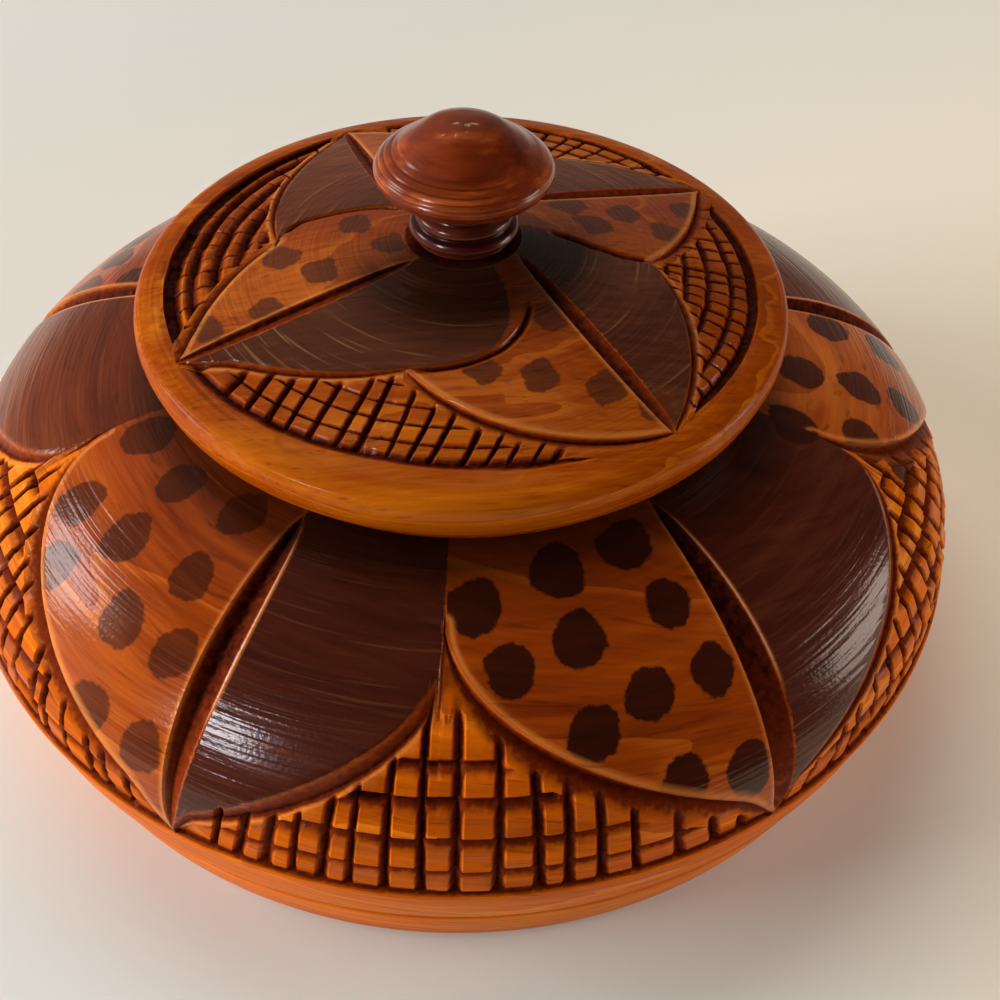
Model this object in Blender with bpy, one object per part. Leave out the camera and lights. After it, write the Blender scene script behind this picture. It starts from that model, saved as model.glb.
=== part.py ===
# Turned and carved round wooden box with a lift-off lid and a turned knob
import math

import bmesh
import bpy
from mathutils import Vector

# Facets around the turned pieces
box_turn_steps = 72
lid_turn_steps = 64
knob_turn_steps = 32
shoulder_steps = 9
bowl_steps = 7
crown_steps = 4
surface_samples = 60
sharp_angle = 32.0
merge_distance = 0.000001
weld_distance = 0.000002

# Box outside, all lengths in metres
belly_radius = 0.0650
belly_height = 0.0195
shoulder_centre_radius = 0.0300
shoulder_rise = 0.0200
foot_underside_radius = 0.0598
foot_edge_radius = 0.0605
foot_edge_height = 0.0007
foot_top_radius = 0.0629
foot_recess_radius = 0.0460
foot_recess_slope = 0.0012
foot_recess_depth = 0.0012
band_groove_height = 0.0096
band_groove_radius = 0.0625
band_groove_half_width = 0.0006
band_low_radius = 0.0634
band_high_radius = 0.0644
field_line_height = 0.0171
field_line_half_width = 0.0005
field_line_radius = 0.0640
mouth_rim_height = 0.0395
mouth_rim_radius = 0.0343
mouth_rim_ease = 0.0004
mouth_radius = 0.0330

# Bowl turned inside the box
bowl_top_height = 0.0335
bowl_floor_height = 0.0065
bowl_lip_radius = 0.0340
bowl_bulge = 0.0180

# Lid, seated on the mouth rim
seat_gap = 0.0003
lid_seat_radius = 0.0348
lid_bevel_radius = 0.0365
lid_bevel_height = 0.0418
lid_edge_low_radius = 0.0386
lid_edge_low_height = 0.0444
lid_edge_radius = 0.0394
lid_edge_height = 0.0469
lid_edge_top_radius = 0.0391
lid_edge_top_height = 0.0482
lid_rim_radius = 0.0383
lid_rim_height = 0.0489
lid_crown_radius = 0.0069
lid_crown_height = 0.0548
lid_crown_bend_power = 1.1
spigot_radius = 0.0325
spigot_depth = 0.0033
spigot_ease = 0.0005
dish_radius = 0.0280
dish_slope = 0.0010
dish_depth = 0.0026
knob_bore_radius = 0.0038
knob_bore_depth = 0.0080

# Knob, glued by a tenon in the crown of the lid
tenon_radius = 0.0035
tenon_end_gap = 0.0005
tenon_ease = 0.0004
collar_gap = 0.0003
knob_radius = 0.01033
knob_height = 0.01412

# Knob outline from the collar to the tip, as shares of its radius and height
knob_shares = (
    (0.600, 0.000),
    (0.629, 0.050),
    (0.600, 0.098),
    (0.545, 0.117),
    (0.563, 0.155),
    (0.515, 0.200),
    (0.462, 0.262),
    (0.600, 0.366),
    (0.800, 0.425),
    (0.890, 0.455),
    (0.880, 0.468),
    (0.955, 0.502),
    (0.946, 0.516),
    (1.000, 0.570),
    (0.985, 0.635),
    (0.900, 0.705),
    (0.700, 0.810),
    (0.500, 0.900),
    (0.300, 0.965),
    (0.000, 1.000),
)

# Leaf veins and the notches between leaves, in degrees, as cut freehand
box_vein_angles = (14.0, 90.0, 166.0, 243.9, 305.4)
box_vein_leans = (2.0, -1.5, 1.5, -1.1, 4.6)
box_vein_lean_share = 0.35
box_notch_angles = (53.0, 128.0, 203.0, 270.0, 342.0)
lid_vein_angles = (33.0, 120.0, 211.5, 311.0)
lid_notch_angles = (76.0, 177.0, 256.0, 359.0)

# Sunk fields between the leaves of the box
box_field_sink = 0.0005
box_hatch_pitch = 0.0046
box_hatch_width = 0.0014
box_hatch_depth = 0.0008
box_hatch_run_out = 0.0022
box_field_row_pitch = 0.0062
box_field_margin = 0.0012
box_leaf_tip_run = 0.0030
box_light_scallop_run = 0.0310
box_dark_scallop_run = 0.0255
box_light_scallop_powers = (0.55, 0.90)
box_dark_scallop_powers = (0.60, 1.00)

# Sunk fields between the leaves of the lid
lid_field_radius = 0.0350
lid_field_sink = 0.0004
lid_hatch_pitch = 0.0038
lid_hatch_width = 0.0011
lid_hatch_depth = 0.0006
lid_hatch_run_out = 0.0018
lid_field_row_pitch = 0.0065
lid_field_margin = 0.0010
lid_leaf_tip_run = 0.0002
lid_scallop_run = 0.0130
lid_scallop_powers = (1.00, 0.90)

# Gouge cuts along the leaf edges and veins
cutter_lift = 0.0010
cutter_samples = 10
gouge_swell_power = 0.5
gouge_end_rise_share = 0.08
box_light_edge_widths = (0.0006, 0.0026)
box_dark_edge_widths = (0.0016, 0.0009)
box_scallop_depth = 0.0013
box_vein_light_width = 0.0015
box_vein_dark_width = 0.0022
box_vein_depth = 0.0015
box_vein_low_run = 0.0012
box_vein_high_run = 0.0405
lid_light_edge_widths = (0.0004, 0.0012)
lid_dark_edge_widths = (0.0005, 0.0009)
lid_scallop_depth = 0.0009
lid_vein_half_width = 0.0008
lid_vein_depth = 0.0008
lid_vein_outer_radius = 0.0362
lid_vein_inner_radius = 0.0085
lid_vein_offset = 0.0032

lid_lift_travel = 0.0700


class TurnedSurface:
    # A turned outline, read by the distance run along it from its first point

    def __init__(self, outline):
        self.outline = outline
        self.runs = [0.0]
        for here, after in zip(outline, outline[1:]):
            self.runs.append(self.runs[-1] + math.dist(here, after))
        self.facings = []
        for index in range(len(outline)):
            before = outline[max(index - 1, 0)]
            after = outline[min(index + 1, len(outline) - 1)]
            span = math.dist(before, after)
            self.facings.append(((after[1] - before[1]) / span, (before[0] - after[0]) / span))

    def read(self, run):
        index = 0
        while index < len(self.runs) - 2 and self.runs[index + 1] < run:
            index += 1
        share = (run - self.runs[index]) / (self.runs[index + 1] - self.runs[index])
        share = min(max(share, 0.0), 1.0)
        here, after = self.outline[index], self.outline[index + 1]
        face, face_after = self.facings[index], self.facings[index + 1]
        radius = here[0] + (after[0] - here[0]) * share
        height = here[1] + (after[1] - here[1]) * share
        out = face[0] + (face_after[0] - face[0]) * share
        up = face[1] + (face_after[1] - face[1]) * share
        return radius, height, out, up

    def facing(self, turn, run):
        out, up = self.read(run)[2:]
        return Vector((out * math.cos(turn), out * math.sin(turn), up)).normalized()

    def point(self, turn, run, lift=0.0):
        radius, height = self.read(run)[:2]
        base = Vector((radius * math.cos(turn), radius * math.sin(turn), height))
        return base + self.facing(turn, run) * lift

    def run_to_radius(self, radius):
        for index, (here, after) in enumerate(zip(self.outline, self.outline[1:])):
            if after[0] <= radius <= here[0]:
                share = (here[0] - radius) / (here[0] - after[0])
                return self.runs[index] + share * (self.runs[index + 1] - self.runs[index])
        return self.runs[-1]


def wood(name, colour, roughness):
    material = bpy.data.materials.new(name)
    material.use_nodes = True
    shader = material.node_tree.nodes["Principled BSDF"]
    shader.inputs["Base Color"].default_value = (*colour, 1.0)
    shader.inputs["Roughness"].default_value = roughness
    shader.inputs["Metallic"].default_value = 0.0
    material.diffuse_color = (*colour, 1.0)
    return material


def add_object(name, shape, material=None):
    mesh = bpy.data.meshes.new(name)
    shape.to_mesh(mesh)
    shape.free()
    thing = bpy.data.objects.new(name, mesh)
    bpy.context.collection.objects.link(thing)
    if material:
        mesh.materials.append(material)
    return thing


def turned(name, outline, steps, material):
    # Spins an outline that starts and ends on the axis
    shape = bmesh.new()
    points = [shape.verts.new((radius, 0.0, height)) for radius, height in outline]
    lines = [shape.edges.new(pair) for pair in zip(points, points[1:])]
    bmesh.ops.spin(
        shape,
        geom=points + lines,
        axis=(0.0, 0.0, 1.0),
        cent=(0.0, 0.0, 0.0),
        steps=steps,
        angle=math.tau,
        use_merge=True,
    )
    bmesh.ops.remove_doubles(shape, verts=shape.verts, dist=merge_distance)
    bmesh.ops.dissolve_degenerate(shape, edges=shape.edges, dist=merge_distance)
    bmesh.ops.recalc_face_normals(shape, faces=shape.faces)
    return add_object(name, shape, material)


def arc(centre_radius, centre_height, half_width, half_height, start, end, steps):
    points = []
    for step in range(steps + 1):
        angle = math.radians(start + (end - start) * step / steps)
        radius = centre_radius + half_width * math.cos(angle)
        points.append((radius, centre_height + half_height * math.sin(angle)))
    return points


def shoulder_outline(steps):
    # The shoulder is an ellipse from the field line up to the mouth rim
    half_width = belly_radius - shoulder_centre_radius
    low = field_line_height + field_line_half_width - belly_height
    start = math.degrees(math.asin(low / shoulder_rise))
    end = math.degrees(math.acos((mouth_rim_radius - shoulder_centre_radius) / half_width))
    return arc(shoulder_centre_radius, belly_height, half_width, shoulder_rise, start, end, steps)


def crown_outline(steps, outer_radius):
    # The lid rises from its rim to the knob in a nearly straight cone
    points = []
    for step in range(steps + 1):
        radius = outer_radius + (lid_crown_radius - outer_radius) * step / steps
        share = (radius - lid_crown_radius) / (lid_rim_radius - lid_crown_radius)
        drop = (lid_crown_height - lid_rim_height) * max(share, 0.0) ** lid_crown_bend_power
        points.append((radius, lid_crown_height - drop))
    return points


def scallop(share, tip_run, notch_run, powers):
    # Leaf edge height, from the notch at share 0 to the leaf tip at share 1
    inner = max(1.0 - max(share, 0.0) ** powers[0], 0.0)
    return tip_run + (notch_run - tip_run) * inner ** powers[1]


def gouge_cutter(name, surface, path, left_width, right_width, depth):
    # A three-sided keel swept along the surface, rising out of the wood at both ends
    shape = bmesh.new()
    rings = []
    last = len(path) - 1
    for index, (turn, run) in enumerate(path):
        swell = math.sin(math.pi * index / last) ** gouge_swell_power - gouge_end_rise_share
        here = surface.point(turn, run)
        along = surface.point(*path[min(index + 1, last)]) - surface.point(*path[max(index - 1, 0)])
        facing = surface.facing(turn, run)
        side = facing.cross(along).normalized()
        spread = swell + cutter_lift / depth
        left = here + side * left_width * spread + facing * cutter_lift
        right = here - side * right_width * spread + facing * cutter_lift
        keel = here - facing * depth * swell
        rings.append([shape.verts.new(point) for point in (left, keel, right)])
    for ring, after in zip(rings, rings[1:]):
        for corner in range(3):
            beside = (corner + 1) % 3
            shape.faces.new((ring[corner], ring[beside], after[beside], after[corner]))
    shape.faces.new(rings[0])
    shape.faces.new(rings[-1])
    bmesh.ops.recalc_face_normals(shape, faces=shape.faces)
    return add_object(name, shape)


def hatch_columns(low, high, pitch, width):
    # Turns of the two edges and the keel of every hatch cut between two turns
    count = max(round((high - low) / pitch), 1)
    columns = []
    for index in range(count):
        middle = low + (high - low) * (index + 0.5) / count
        columns.extend(((middle - width / 2, False), (middle, True), (middle + width / 2, False)))
    return columns


def field_cutter(name, surface, start, notch, end, edge_at, sizes):
    # A patch that follows the surface between two leaf edges, sinks into it and has hatch cuts in its floor
    rim_radius = surface.outline[0][0]
    pitch, width = sizes["hatch_pitch"] / rim_radius, sizes["hatch_width"] / rim_radius
    columns = [(start, False)]
    columns += hatch_columns(start, notch, pitch, width)
    columns.append((notch, False))
    columns += hatch_columns(notch, end, pitch, width)
    columns.append((end, False))
    tallest = edge_at(notch)
    rows = max(round(tallest / sizes["row_pitch"]), 2)
    levels = [tallest * index / rows for index in range(rows + 1)]
    shape = bmesh.new()
    floors, roofs = [], []
    for turn, is_keel in columns:
        top = edge_at(turn)
        floor, roof = [], []
        for level in levels:
            run = min(level, top)
            inside = min(run, top - run) / sizes["hatch_run_out"]
            sink = sizes["sink"] + sizes["hatch_depth"] * min(inside, 1.0) * is_keel
            floor.append(shape.verts.new(surface.point(turn, run, -sink)))
            roof.append(shape.verts.new(surface.point(turn, run, cutter_lift)))
        floors.append(floor)
        roofs.append(roof)
    for column in range(len(columns) - 1):
        for sheet in (floors, roofs):
            for here, after in zip(zip(*sheet[column:column + 2]), list(zip(*sheet[column:column + 2]))[1:]):
                shape.faces.new((here[0], here[1], after[1], after[0]))
        for level in (0, rows):
            near = (floors[column][level], floors[column + 1][level])
            shape.faces.new(near + (roofs[column + 1][level], roofs[column][level]))
    for column in (0, len(columns) - 1):
        for level in range(rows):
            near = (floors[column][level], floors[column][level + 1])
            shape.faces.new(near + (roofs[column][level + 1], roofs[column][level]))
    bmesh.ops.remove_doubles(shape, verts=shape.verts, dist=merge_distance)
    bmesh.ops.dissolve_degenerate(shape, edges=shape.edges, dist=merge_distance)
    bmesh.ops.recalc_face_normals(shape, faces=shape.faces)
    return add_object(name, shape)


def carve(target, cutters, name):
    folder = bpy.data.collections.new(name)
    bpy.context.scene.collection.children.link(folder)
    for cutter in cutters:
        bpy.context.collection.objects.unlink(cutter)
        folder.objects.link(cutter)
        cutter.hide_render = True
        cutter.display_type = "WIRE"
    cut = target.modifiers.new("carving", "BOOLEAN")
    cut.operation = "DIFFERENCE"
    cut.solver = "EXACT"
    cut.operand_type = "COLLECTION"
    cut.collection = folder
    weld = target.modifiers.new("tidy", "WELD")
    weld.merge_threshold = weld_distance


def wrap_after(angle, reference):
    while angle <= reference:
        angle += math.tau
    return angle


def carve_leaves(target, surface, veins, notches, sizes):
    # Cuts the field, both scallops and the vein that belong to every notch and leaf
    cutters = []
    veins = sorted(math.radians(angle) for angle in veins)
    notches = [math.radians(angle) for angle in notches]
    rim_radius = surface.outline[0][0]
    for index, vein in enumerate(veins):
        next_vein = wrap_after(veins[(index + 1) % len(veins)], vein)
        notch = min(wrap_after(angle, vein) for angle in notches)
        margin = sizes["margin"] / rim_radius
        start, end = vein + margin, next_vein - margin

        def dark_edge(turn):
            share = min((notch - turn) / (notch - start), 1.0)
            return scallop(share, sizes["tip_run"], sizes["dark_run"], sizes["dark_powers"])

        def light_edge(turn):
            share = min((turn - notch) / (end - notch), 1.0)
            return scallop(share, sizes["tip_run"], sizes["light_run"], sizes["light_powers"])

        def edge_at(turn):
            return dark_edge(turn) if turn < notch else light_edge(turn)

        label = target.name + "_" + str(index + 1)
        cutters.append(field_cutter(label + "_field", surface, start, notch, end, edge_at, sizes))
        dark_path, light_path = [], []
        for step in range(cutter_samples + 1):
            share = (step / cutter_samples) ** 2
            turn = notch + (end - notch) * share
            light_path.append((turn, light_edge(turn)))
            turn = notch - (notch - start) * share
            dark_path.append((turn, dark_edge(turn)))
        dark_path.reverse()
        for word, path in (("dark", dark_path), ("light", light_path)):
            cutters.append(
                gouge_cutter(
                    label + "_" + word + "_edge",
                    surface,
                    path,
                    *sizes[word + "_widths"],
                    sizes["edge_depth"],
                )
            )
    return cutters


for thing in list(bpy.data.objects):
    bpy.data.objects.remove(thing, do_unlink=True)

box_wood = wood("box_wood", (0.40, 0.13, 0.025), 0.30)
lid_wood = wood("lid_wood", (0.46, 0.16, 0.028), 0.28)
knob_wood = wood("knob_wood", (0.22, 0.055, 0.018), 0.30)

# Box: foot, base band, carved shoulder, mouth and bowl
box_outline = [
    (0.0, foot_recess_depth),
    (foot_recess_radius, foot_recess_depth),
    (foot_recess_radius + foot_recess_slope, 0.0),
    (foot_underside_radius, 0.0),
    (foot_edge_radius, foot_edge_height),
    (foot_top_radius, band_groove_height - band_groove_half_width),
    (band_groove_radius, band_groove_height),
    (band_low_radius, band_groove_height + band_groove_half_width),
    (band_high_radius, field_line_height - field_line_half_width),
    (field_line_radius, field_line_height),
]
box_outline += shoulder_outline(shoulder_steps)
box_outline += [
    (mouth_rim_radius - mouth_rim_ease, mouth_rim_height),
    (mouth_radius + mouth_rim_ease, mouth_rim_height),
    (mouth_radius, mouth_rim_height - mouth_rim_ease),
    (mouth_radius, bowl_top_height),
]
bowl_middle = (bowl_top_height + bowl_floor_height) / 2
bowl_half_height = (bowl_top_height - bowl_floor_height) / 2
box_outline += arc(bowl_lip_radius, bowl_middle, bowl_bulge, bowl_half_height, 90.0, -90.0, bowl_steps)
box_outline.append((0.0, bowl_floor_height))
box_body = turned("box_body", box_outline, box_turn_steps, box_wood)

shoulder = TurnedSurface(shoulder_outline(surface_samples))
box_sizes = {
    "margin": box_field_margin,
    "tip_run": box_leaf_tip_run,
    "dark_run": box_dark_scallop_run,
    "dark_powers": box_dark_scallop_powers,
    "light_run": box_light_scallop_run,
    "light_powers": box_light_scallop_powers,
    "sink": box_field_sink,
    "hatch_pitch": box_hatch_pitch,
    "hatch_width": box_hatch_width,
    "hatch_depth": box_hatch_depth,
    "hatch_run_out": box_hatch_run_out,
    "row_pitch": box_field_row_pitch,
    "light_widths": box_light_edge_widths,
    "dark_widths": box_dark_edge_widths,
    "edge_depth": box_scallop_depth,
}
box_cutters = carve_leaves(box_body, shoulder, box_vein_angles, box_notch_angles, box_sizes)
for index, angle in enumerate(box_vein_angles):
    path = []
    for step in range(cutter_samples + 1):
        share = step / cutter_samples
        run = box_vein_low_run + (box_vein_high_run - box_vein_low_run) * share
        lean = box_vein_leans[index] * (share - box_vein_lean_share)
        path.append((math.radians(angle + lean), run))
    box_cutters.append(
        gouge_cutter(
            "box_vein_" + str(index + 1),
            shoulder,
            path,
            box_vein_light_width,
            box_vein_dark_width,
            box_vein_depth,
        )
    )
carve(box_body, box_cutters, "box_cutters")

# Lid: spigot, seat, bevelled edge, carved crown and bore for the knob
seat_height = mouth_rim_height + seat_gap
spigot_height = mouth_rim_height - spigot_depth
lid_outline = [
    (0.0, lid_crown_height - knob_bore_depth),
    (knob_bore_radius, lid_crown_height - knob_bore_depth),
    (knob_bore_radius, lid_crown_height),
]
lid_outline += list(reversed(crown_outline(crown_steps, lid_rim_radius)))
lid_outline += [
    (lid_edge_top_radius, lid_edge_top_height),
    (lid_edge_radius, lid_edge_height),
    (lid_edge_low_radius, lid_edge_low_height),
    (lid_bevel_radius, lid_bevel_height),
    (lid_seat_radius, seat_height),
    (spigot_radius, seat_height),
    (spigot_radius, spigot_height + spigot_ease),
    (spigot_radius - spigot_ease, spigot_height),
    (dish_radius + dish_slope, spigot_height),
    (dish_radius, spigot_height + dish_depth),
    (0.0, spigot_height + dish_depth),
]
lid = turned("lid", lid_outline, lid_turn_steps, lid_wood)

crown = TurnedSurface(crown_outline(surface_samples, lid_field_radius))
lid_sizes = {
    "margin": lid_field_margin,
    "tip_run": lid_leaf_tip_run,
    "dark_run": lid_scallop_run,
    "dark_powers": lid_scallop_powers,
    "light_run": lid_scallop_run,
    "light_powers": lid_scallop_powers,
    "sink": lid_field_sink,
    "hatch_pitch": lid_hatch_pitch,
    "hatch_width": lid_hatch_width,
    "hatch_depth": lid_hatch_depth,
    "hatch_run_out": lid_hatch_run_out,
    "row_pitch": lid_field_row_pitch,
    "light_widths": lid_light_edge_widths,
    "dark_widths": lid_dark_edge_widths,
    "edge_depth": lid_scallop_depth,
}
lid_cutters = carve_leaves(lid, crown, lid_vein_angles, lid_notch_angles, lid_sizes)
whole_crown = TurnedSurface(crown_outline(surface_samples, lid_rim_radius))
for index, angle in enumerate(lid_vein_angles):
    # A straight cut that passes the centre a little to one side
    path = []
    outer_lean = math.asin(lid_vein_offset / lid_vein_outer_radius)
    for step in range(cutter_samples + 1):
        share = step / cutter_samples
        radius = lid_vein_outer_radius + (lid_vein_inner_radius - lid_vein_outer_radius) * share
        lean = math.asin(lid_vein_offset / radius) - outer_lean
        path.append((math.radians(angle) + lean, whole_crown.run_to_radius(radius)))
    lid_cutters.append(
        gouge_cutter(
            "lid_vein_" + str(index + 1),
            whole_crown,
            path,
            lid_vein_half_width,
            lid_vein_half_width,
            lid_vein_depth,
        )
    )
carve(lid, lid_cutters, "lid_cutters")

# Knob: tenon, two collar beads, neck and turned head
collar_height = lid_crown_height + collar_gap
tenon_foot_height = lid_crown_height - knob_bore_depth + tenon_end_gap
knob_outline = [
    (0.0, tenon_foot_height),
    (tenon_radius - tenon_ease, tenon_foot_height),
    (tenon_radius, tenon_foot_height + tenon_ease),
    (tenon_radius, collar_height),
]
knob_outline += [(knob_radius * out, collar_height + knob_height * up) for out, up in knob_shares]
knob = turned("knob", knob_outline, knob_turn_steps, knob_wood)

lid_lift = bpy.data.objects.new("lid_lift", None)
bpy.context.collection.objects.link(lid_lift)
lid_lift.location = (0.0, 0.0, seat_height)
lid_lift.lock_location = (True, True, False)
travel = lid_lift.constraints.new("LIMIT_LOCATION")
travel.use_min_z = True
travel.use_max_z = True
travel.min_z = seat_height
travel.max_z = seat_height + lid_lift_travel
bpy.context.view_layer.update()
for piece in (lid, knob):
    piece.parent = lid_lift
    piece.matrix_parent_inverse = lid_lift.matrix_world.inverted()

for piece in (box_body, lid, knob):
    piece.data.shade_smooth()
    piece.data.set_sharp_from_angle(angle=math.radians(sharp_angle))
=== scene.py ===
# Turned and carved wooden box with its lid and knob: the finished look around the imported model
import math

import bpy
import numpy as np
from mathutils import Matrix


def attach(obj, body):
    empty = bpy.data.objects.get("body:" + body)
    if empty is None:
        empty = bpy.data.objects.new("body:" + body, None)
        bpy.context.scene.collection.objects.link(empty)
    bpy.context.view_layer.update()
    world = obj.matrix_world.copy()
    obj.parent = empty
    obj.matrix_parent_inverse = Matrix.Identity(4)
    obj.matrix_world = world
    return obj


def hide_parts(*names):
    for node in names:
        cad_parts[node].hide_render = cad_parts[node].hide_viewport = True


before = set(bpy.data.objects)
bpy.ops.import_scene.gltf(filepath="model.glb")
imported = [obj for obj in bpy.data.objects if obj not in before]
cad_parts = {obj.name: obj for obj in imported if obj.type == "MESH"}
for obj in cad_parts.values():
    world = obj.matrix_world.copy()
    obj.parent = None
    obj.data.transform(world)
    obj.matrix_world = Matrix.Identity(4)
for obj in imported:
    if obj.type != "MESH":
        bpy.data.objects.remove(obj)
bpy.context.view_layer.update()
mm = 0.001               # shapes below are worked out in millimetres
creaseAngle = 34.0       # faces that meet more sharply than this show an edge
print("frame loaded")


def toLinear(hexColour):
    # sRGB hex to the linear values that the shader works in
    parts = np.array([int(hexColour[place:place + 2], 16) for place in (1, 3, 5)]) / 255
    linear = np.where(parts <= 0.04045, parts / 12.92, ((parts + 0.055) / 1.055) ** 2.4)
    return (*linear.tolist(), 1.0)


def smooth(value, low, high):
    # 0 below low, 1 above high, with an eased run between them
    share = np.clip((value - low) / (high - low), 0.0, 1.0)
    return share * share * (3 - 2 * share)


def ellipse(centre, half, start, end, count):
    # Points at even angles on an ellipse: centre + half * (cos, sin)
    angle = np.radians(np.linspace(start, end, count))
    return np.stack([centre[0] + half[0] * np.cos(angle), centre[1] + half[1] * np.sin(angle)], axis=1)


def easeCorners(points, ease):
    # Every inner corner becomes three points: one back, one pulled in, one ahead
    points = np.asarray(points, float)
    here = points[1:-1]
    back, ahead = points[:-2] - here, points[2:] - here
    backLength = np.linalg.norm(back[:, :2], axis=1)
    aheadLength = np.linalg.norm(ahead[:, :2], axis=1)
    cut = np.minimum(ease, 0.4 * np.minimum(backLength, aheadLength))
    first = here + back * (cut / backLength)[:, None]
    last = here + ahead * (cut / aheadLength)[:, None]
    middle = 0.25 * first + 0.5 * here + 0.25 * last
    inner = np.stack([first, middle, last], axis=1).reshape(-1, points.shape[1])
    return np.vstack([points[:1], inner, points[-1:]])


def measureOutline(points):
    # Radius, height and outward direction of a turned outline, against the length run along it
    step = np.hypot(*np.diff(points[:, :2], axis=0).T)
    run = np.concatenate([[0.0], np.cumsum(step)])
    slope = np.gradient(points[:, :2], run, axis=0)
    slope /= np.linalg.norm(slope, axis=1)[:, None]
    return {
        "run": run,
        "radius": points[:, 0],
        "height": points[:, 1],
        "out": slope[:, 1],
        "up": -slope[:, 0],
    }


def readOutline(outline, run, key):
    return np.interp(run, outline["run"], outline[key])


def placePoints(outline, turn, run):
    # Points of the turned surface at an angle in degrees and a length along the outline
    radius = readOutline(outline, run, "radius")
    angle = np.radians(turn)
    east, north = radius * np.cos(angle), radius * np.sin(angle)
    return np.stack([east, north, readOutline(outline, run, "height")], axis=-1)


def nearestOnPath(points, path):
    # Distance from each point to a path of straight pieces, and the share of its length where it is nearest
    along = np.diff(path, axis=0)
    lengths = np.linalg.norm(along, axis=1)
    offset = points[:, None] - path[None, :-1]
    share = np.clip((offset * along).sum(axis=2) / (lengths ** 2), 0.0, 1.0)
    gap = np.linalg.norm(offset - share[..., None] * along, axis=2)
    best = gap.argmin(axis=1)
    pick = np.arange(len(points))
    start = np.concatenate([[0.0], np.cumsum(lengths)])
    return gap[pick, best], (start[best] + share[pick, best] * lengths[best]) / start[-1]


def joinRings(lower, upper, every):
    # Faces between two rings of points: quads where both have as many, else triangles that fan out from the
    # coarser ring, whose points stand in line with one in every few of the finer ring's
    if len(lower) == len(upper):
        return np.stack([lower, np.roll(lower, -1), np.roll(upper, -1), upper], axis=1), None
    coarse, fine = (lower, upper) if len(lower) < len(upper) else (upper, lower)
    owner = coarse[np.arange(len(fine)) // every]
    fans = np.stack([fine, owner, np.roll(fine, -1)], axis=1)
    bridges = np.stack([coarse, np.roll(coarse, -1), np.roll(fine[::every], -1)], axis=1)
    triangles = np.vstack([fans, bridges])
    return None, triangles if len(lower) < len(upper) else triangles[:, ::-1]


def turnedMesh(name, turn, radius, height, poles, marks, plainRows=(0, 0), every=1):
    # A closed turned surface: rows run along the outline, columns go round, and both ends meet on the axis.
    # The plain rows, so many at the start and so many at the end, keep one column in every few.
    rows, columns = radius.shape
    angle = np.radians(turn)
    points = np.stack([radius * np.cos(angle), radius * np.sin(angle), height], axis=-1).reshape(-1, 3)
    points = np.vstack([points, [(0.0, 0.0, poles[0]), (0.0, 0.0, poles[1])]]) * mm
    index = np.arange(rows * columns).reshape(rows, columns)
    rings = [line[::every] if row < plainRows[0] or row >= rows - plainRows[1] else line
             for row, line in enumerate(index)]
    joined = [joinRings(lower, upper, every) for lower, upper in zip(rings[:-1], rings[1:])]
    quads = np.vstack([faces for faces, fans in joined if faces is not None])
    low, high = np.full(len(rings[0]), rows * columns), np.full(len(rings[-1]), rows * columns + 1)
    fans = np.vstack([fans for faces, fans in joined if fans is not None] + [
        np.stack([low, np.roll(rings[0], -1), rings[0]], axis=1),
        np.stack([high, rings[-1], np.roll(rings[-1], -1)], axis=1),
    ])
    used = np.unique(np.concatenate([quads.ravel(), fans.ravel()]))
    renumber = np.zeros(rows * columns + 2, int)
    renumber[used] = np.arange(len(used))
    points, quads, fans = points[used], renumber[quads], renumber[fans]
    mesh = bpy.data.meshes.new(name)
    mesh.from_pydata(points.tolist(), [], quads.tolist() + fans.tolist())
    for word, values in marks.items():
        layer = mesh.attributes.new(word, "FLOAT", "POINT")
        values = np.concatenate([values.ravel(), values[0, :1], values[-1, :1]])[used]
        layer.data.foreach_set("value", values.astype(np.float32))
    mesh.validate()
    mesh.shade_smooth()
    mesh.set_sharp_from_angle(angle=math.radians(creaseAngle))
    piece = bpy.data.objects.new(name, mesh)
    bpy.context.collection.objects.link(piece)
    print(name, len(mesh.vertices), "points", 2 * len(quads) + len(fans), "triangles")
    return piece


# Carving shared by the box and the lid. Each leaf has a vein groove along its middle. The half before
# the vein is dotted and the half after it is stained dark, up to the notch where the next leaf starts.
# A hatched field lies below every notch, between a dark scallop and a dotted one.


def scallopRun(share, cut):
    # Height of a leaf edge above the field line, from the notch at share 0 to the leaf tip at share 1
    share = np.clip(share, 0.0, 1.0)
    swoop = cut["tip"] + (cut["notch"] - cut["tip"]) * (1 - share ** cut["bend"]) ** cut["fall"]
    return np.minimum(swoop, cut["end"] + (1 - share) * cut["endRise"])


veinSection = {
    "dottedPart": 0.4,                  # share of the groove's width that lies on the dotted side
    "places": (0.13, 0.28, 0.62, 0.9),  # shares of the way across the groove
    "walls": (0.6, 1.0, 0.53, 0.14),    # and the share of its depth that each has
}

# How unevenly the carver's hand set the cuts, in shares of their even size unless a note says otherwise
handwork = {
    "wander": 0.16,
    "widths": (0.75, 1.2),
    "widest": 0.42,                     # of the least gap between two cuts
    "strengths": (0.75, 1.1),
    "ends": 0.5,                        # mm that a cut stops high or low
    "lean": 0.05,                       # mm to one side for each mm up
    "rowDepths": (0.55, 1.1),
    "cellWave": 1.7,                    # radians for each mm up, along which the cells tilt
    "lips": (0.0, 0.25, 0.6, 1.1, 1.7),  # mm from a field's ends, where its edge cells have columns
}


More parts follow.
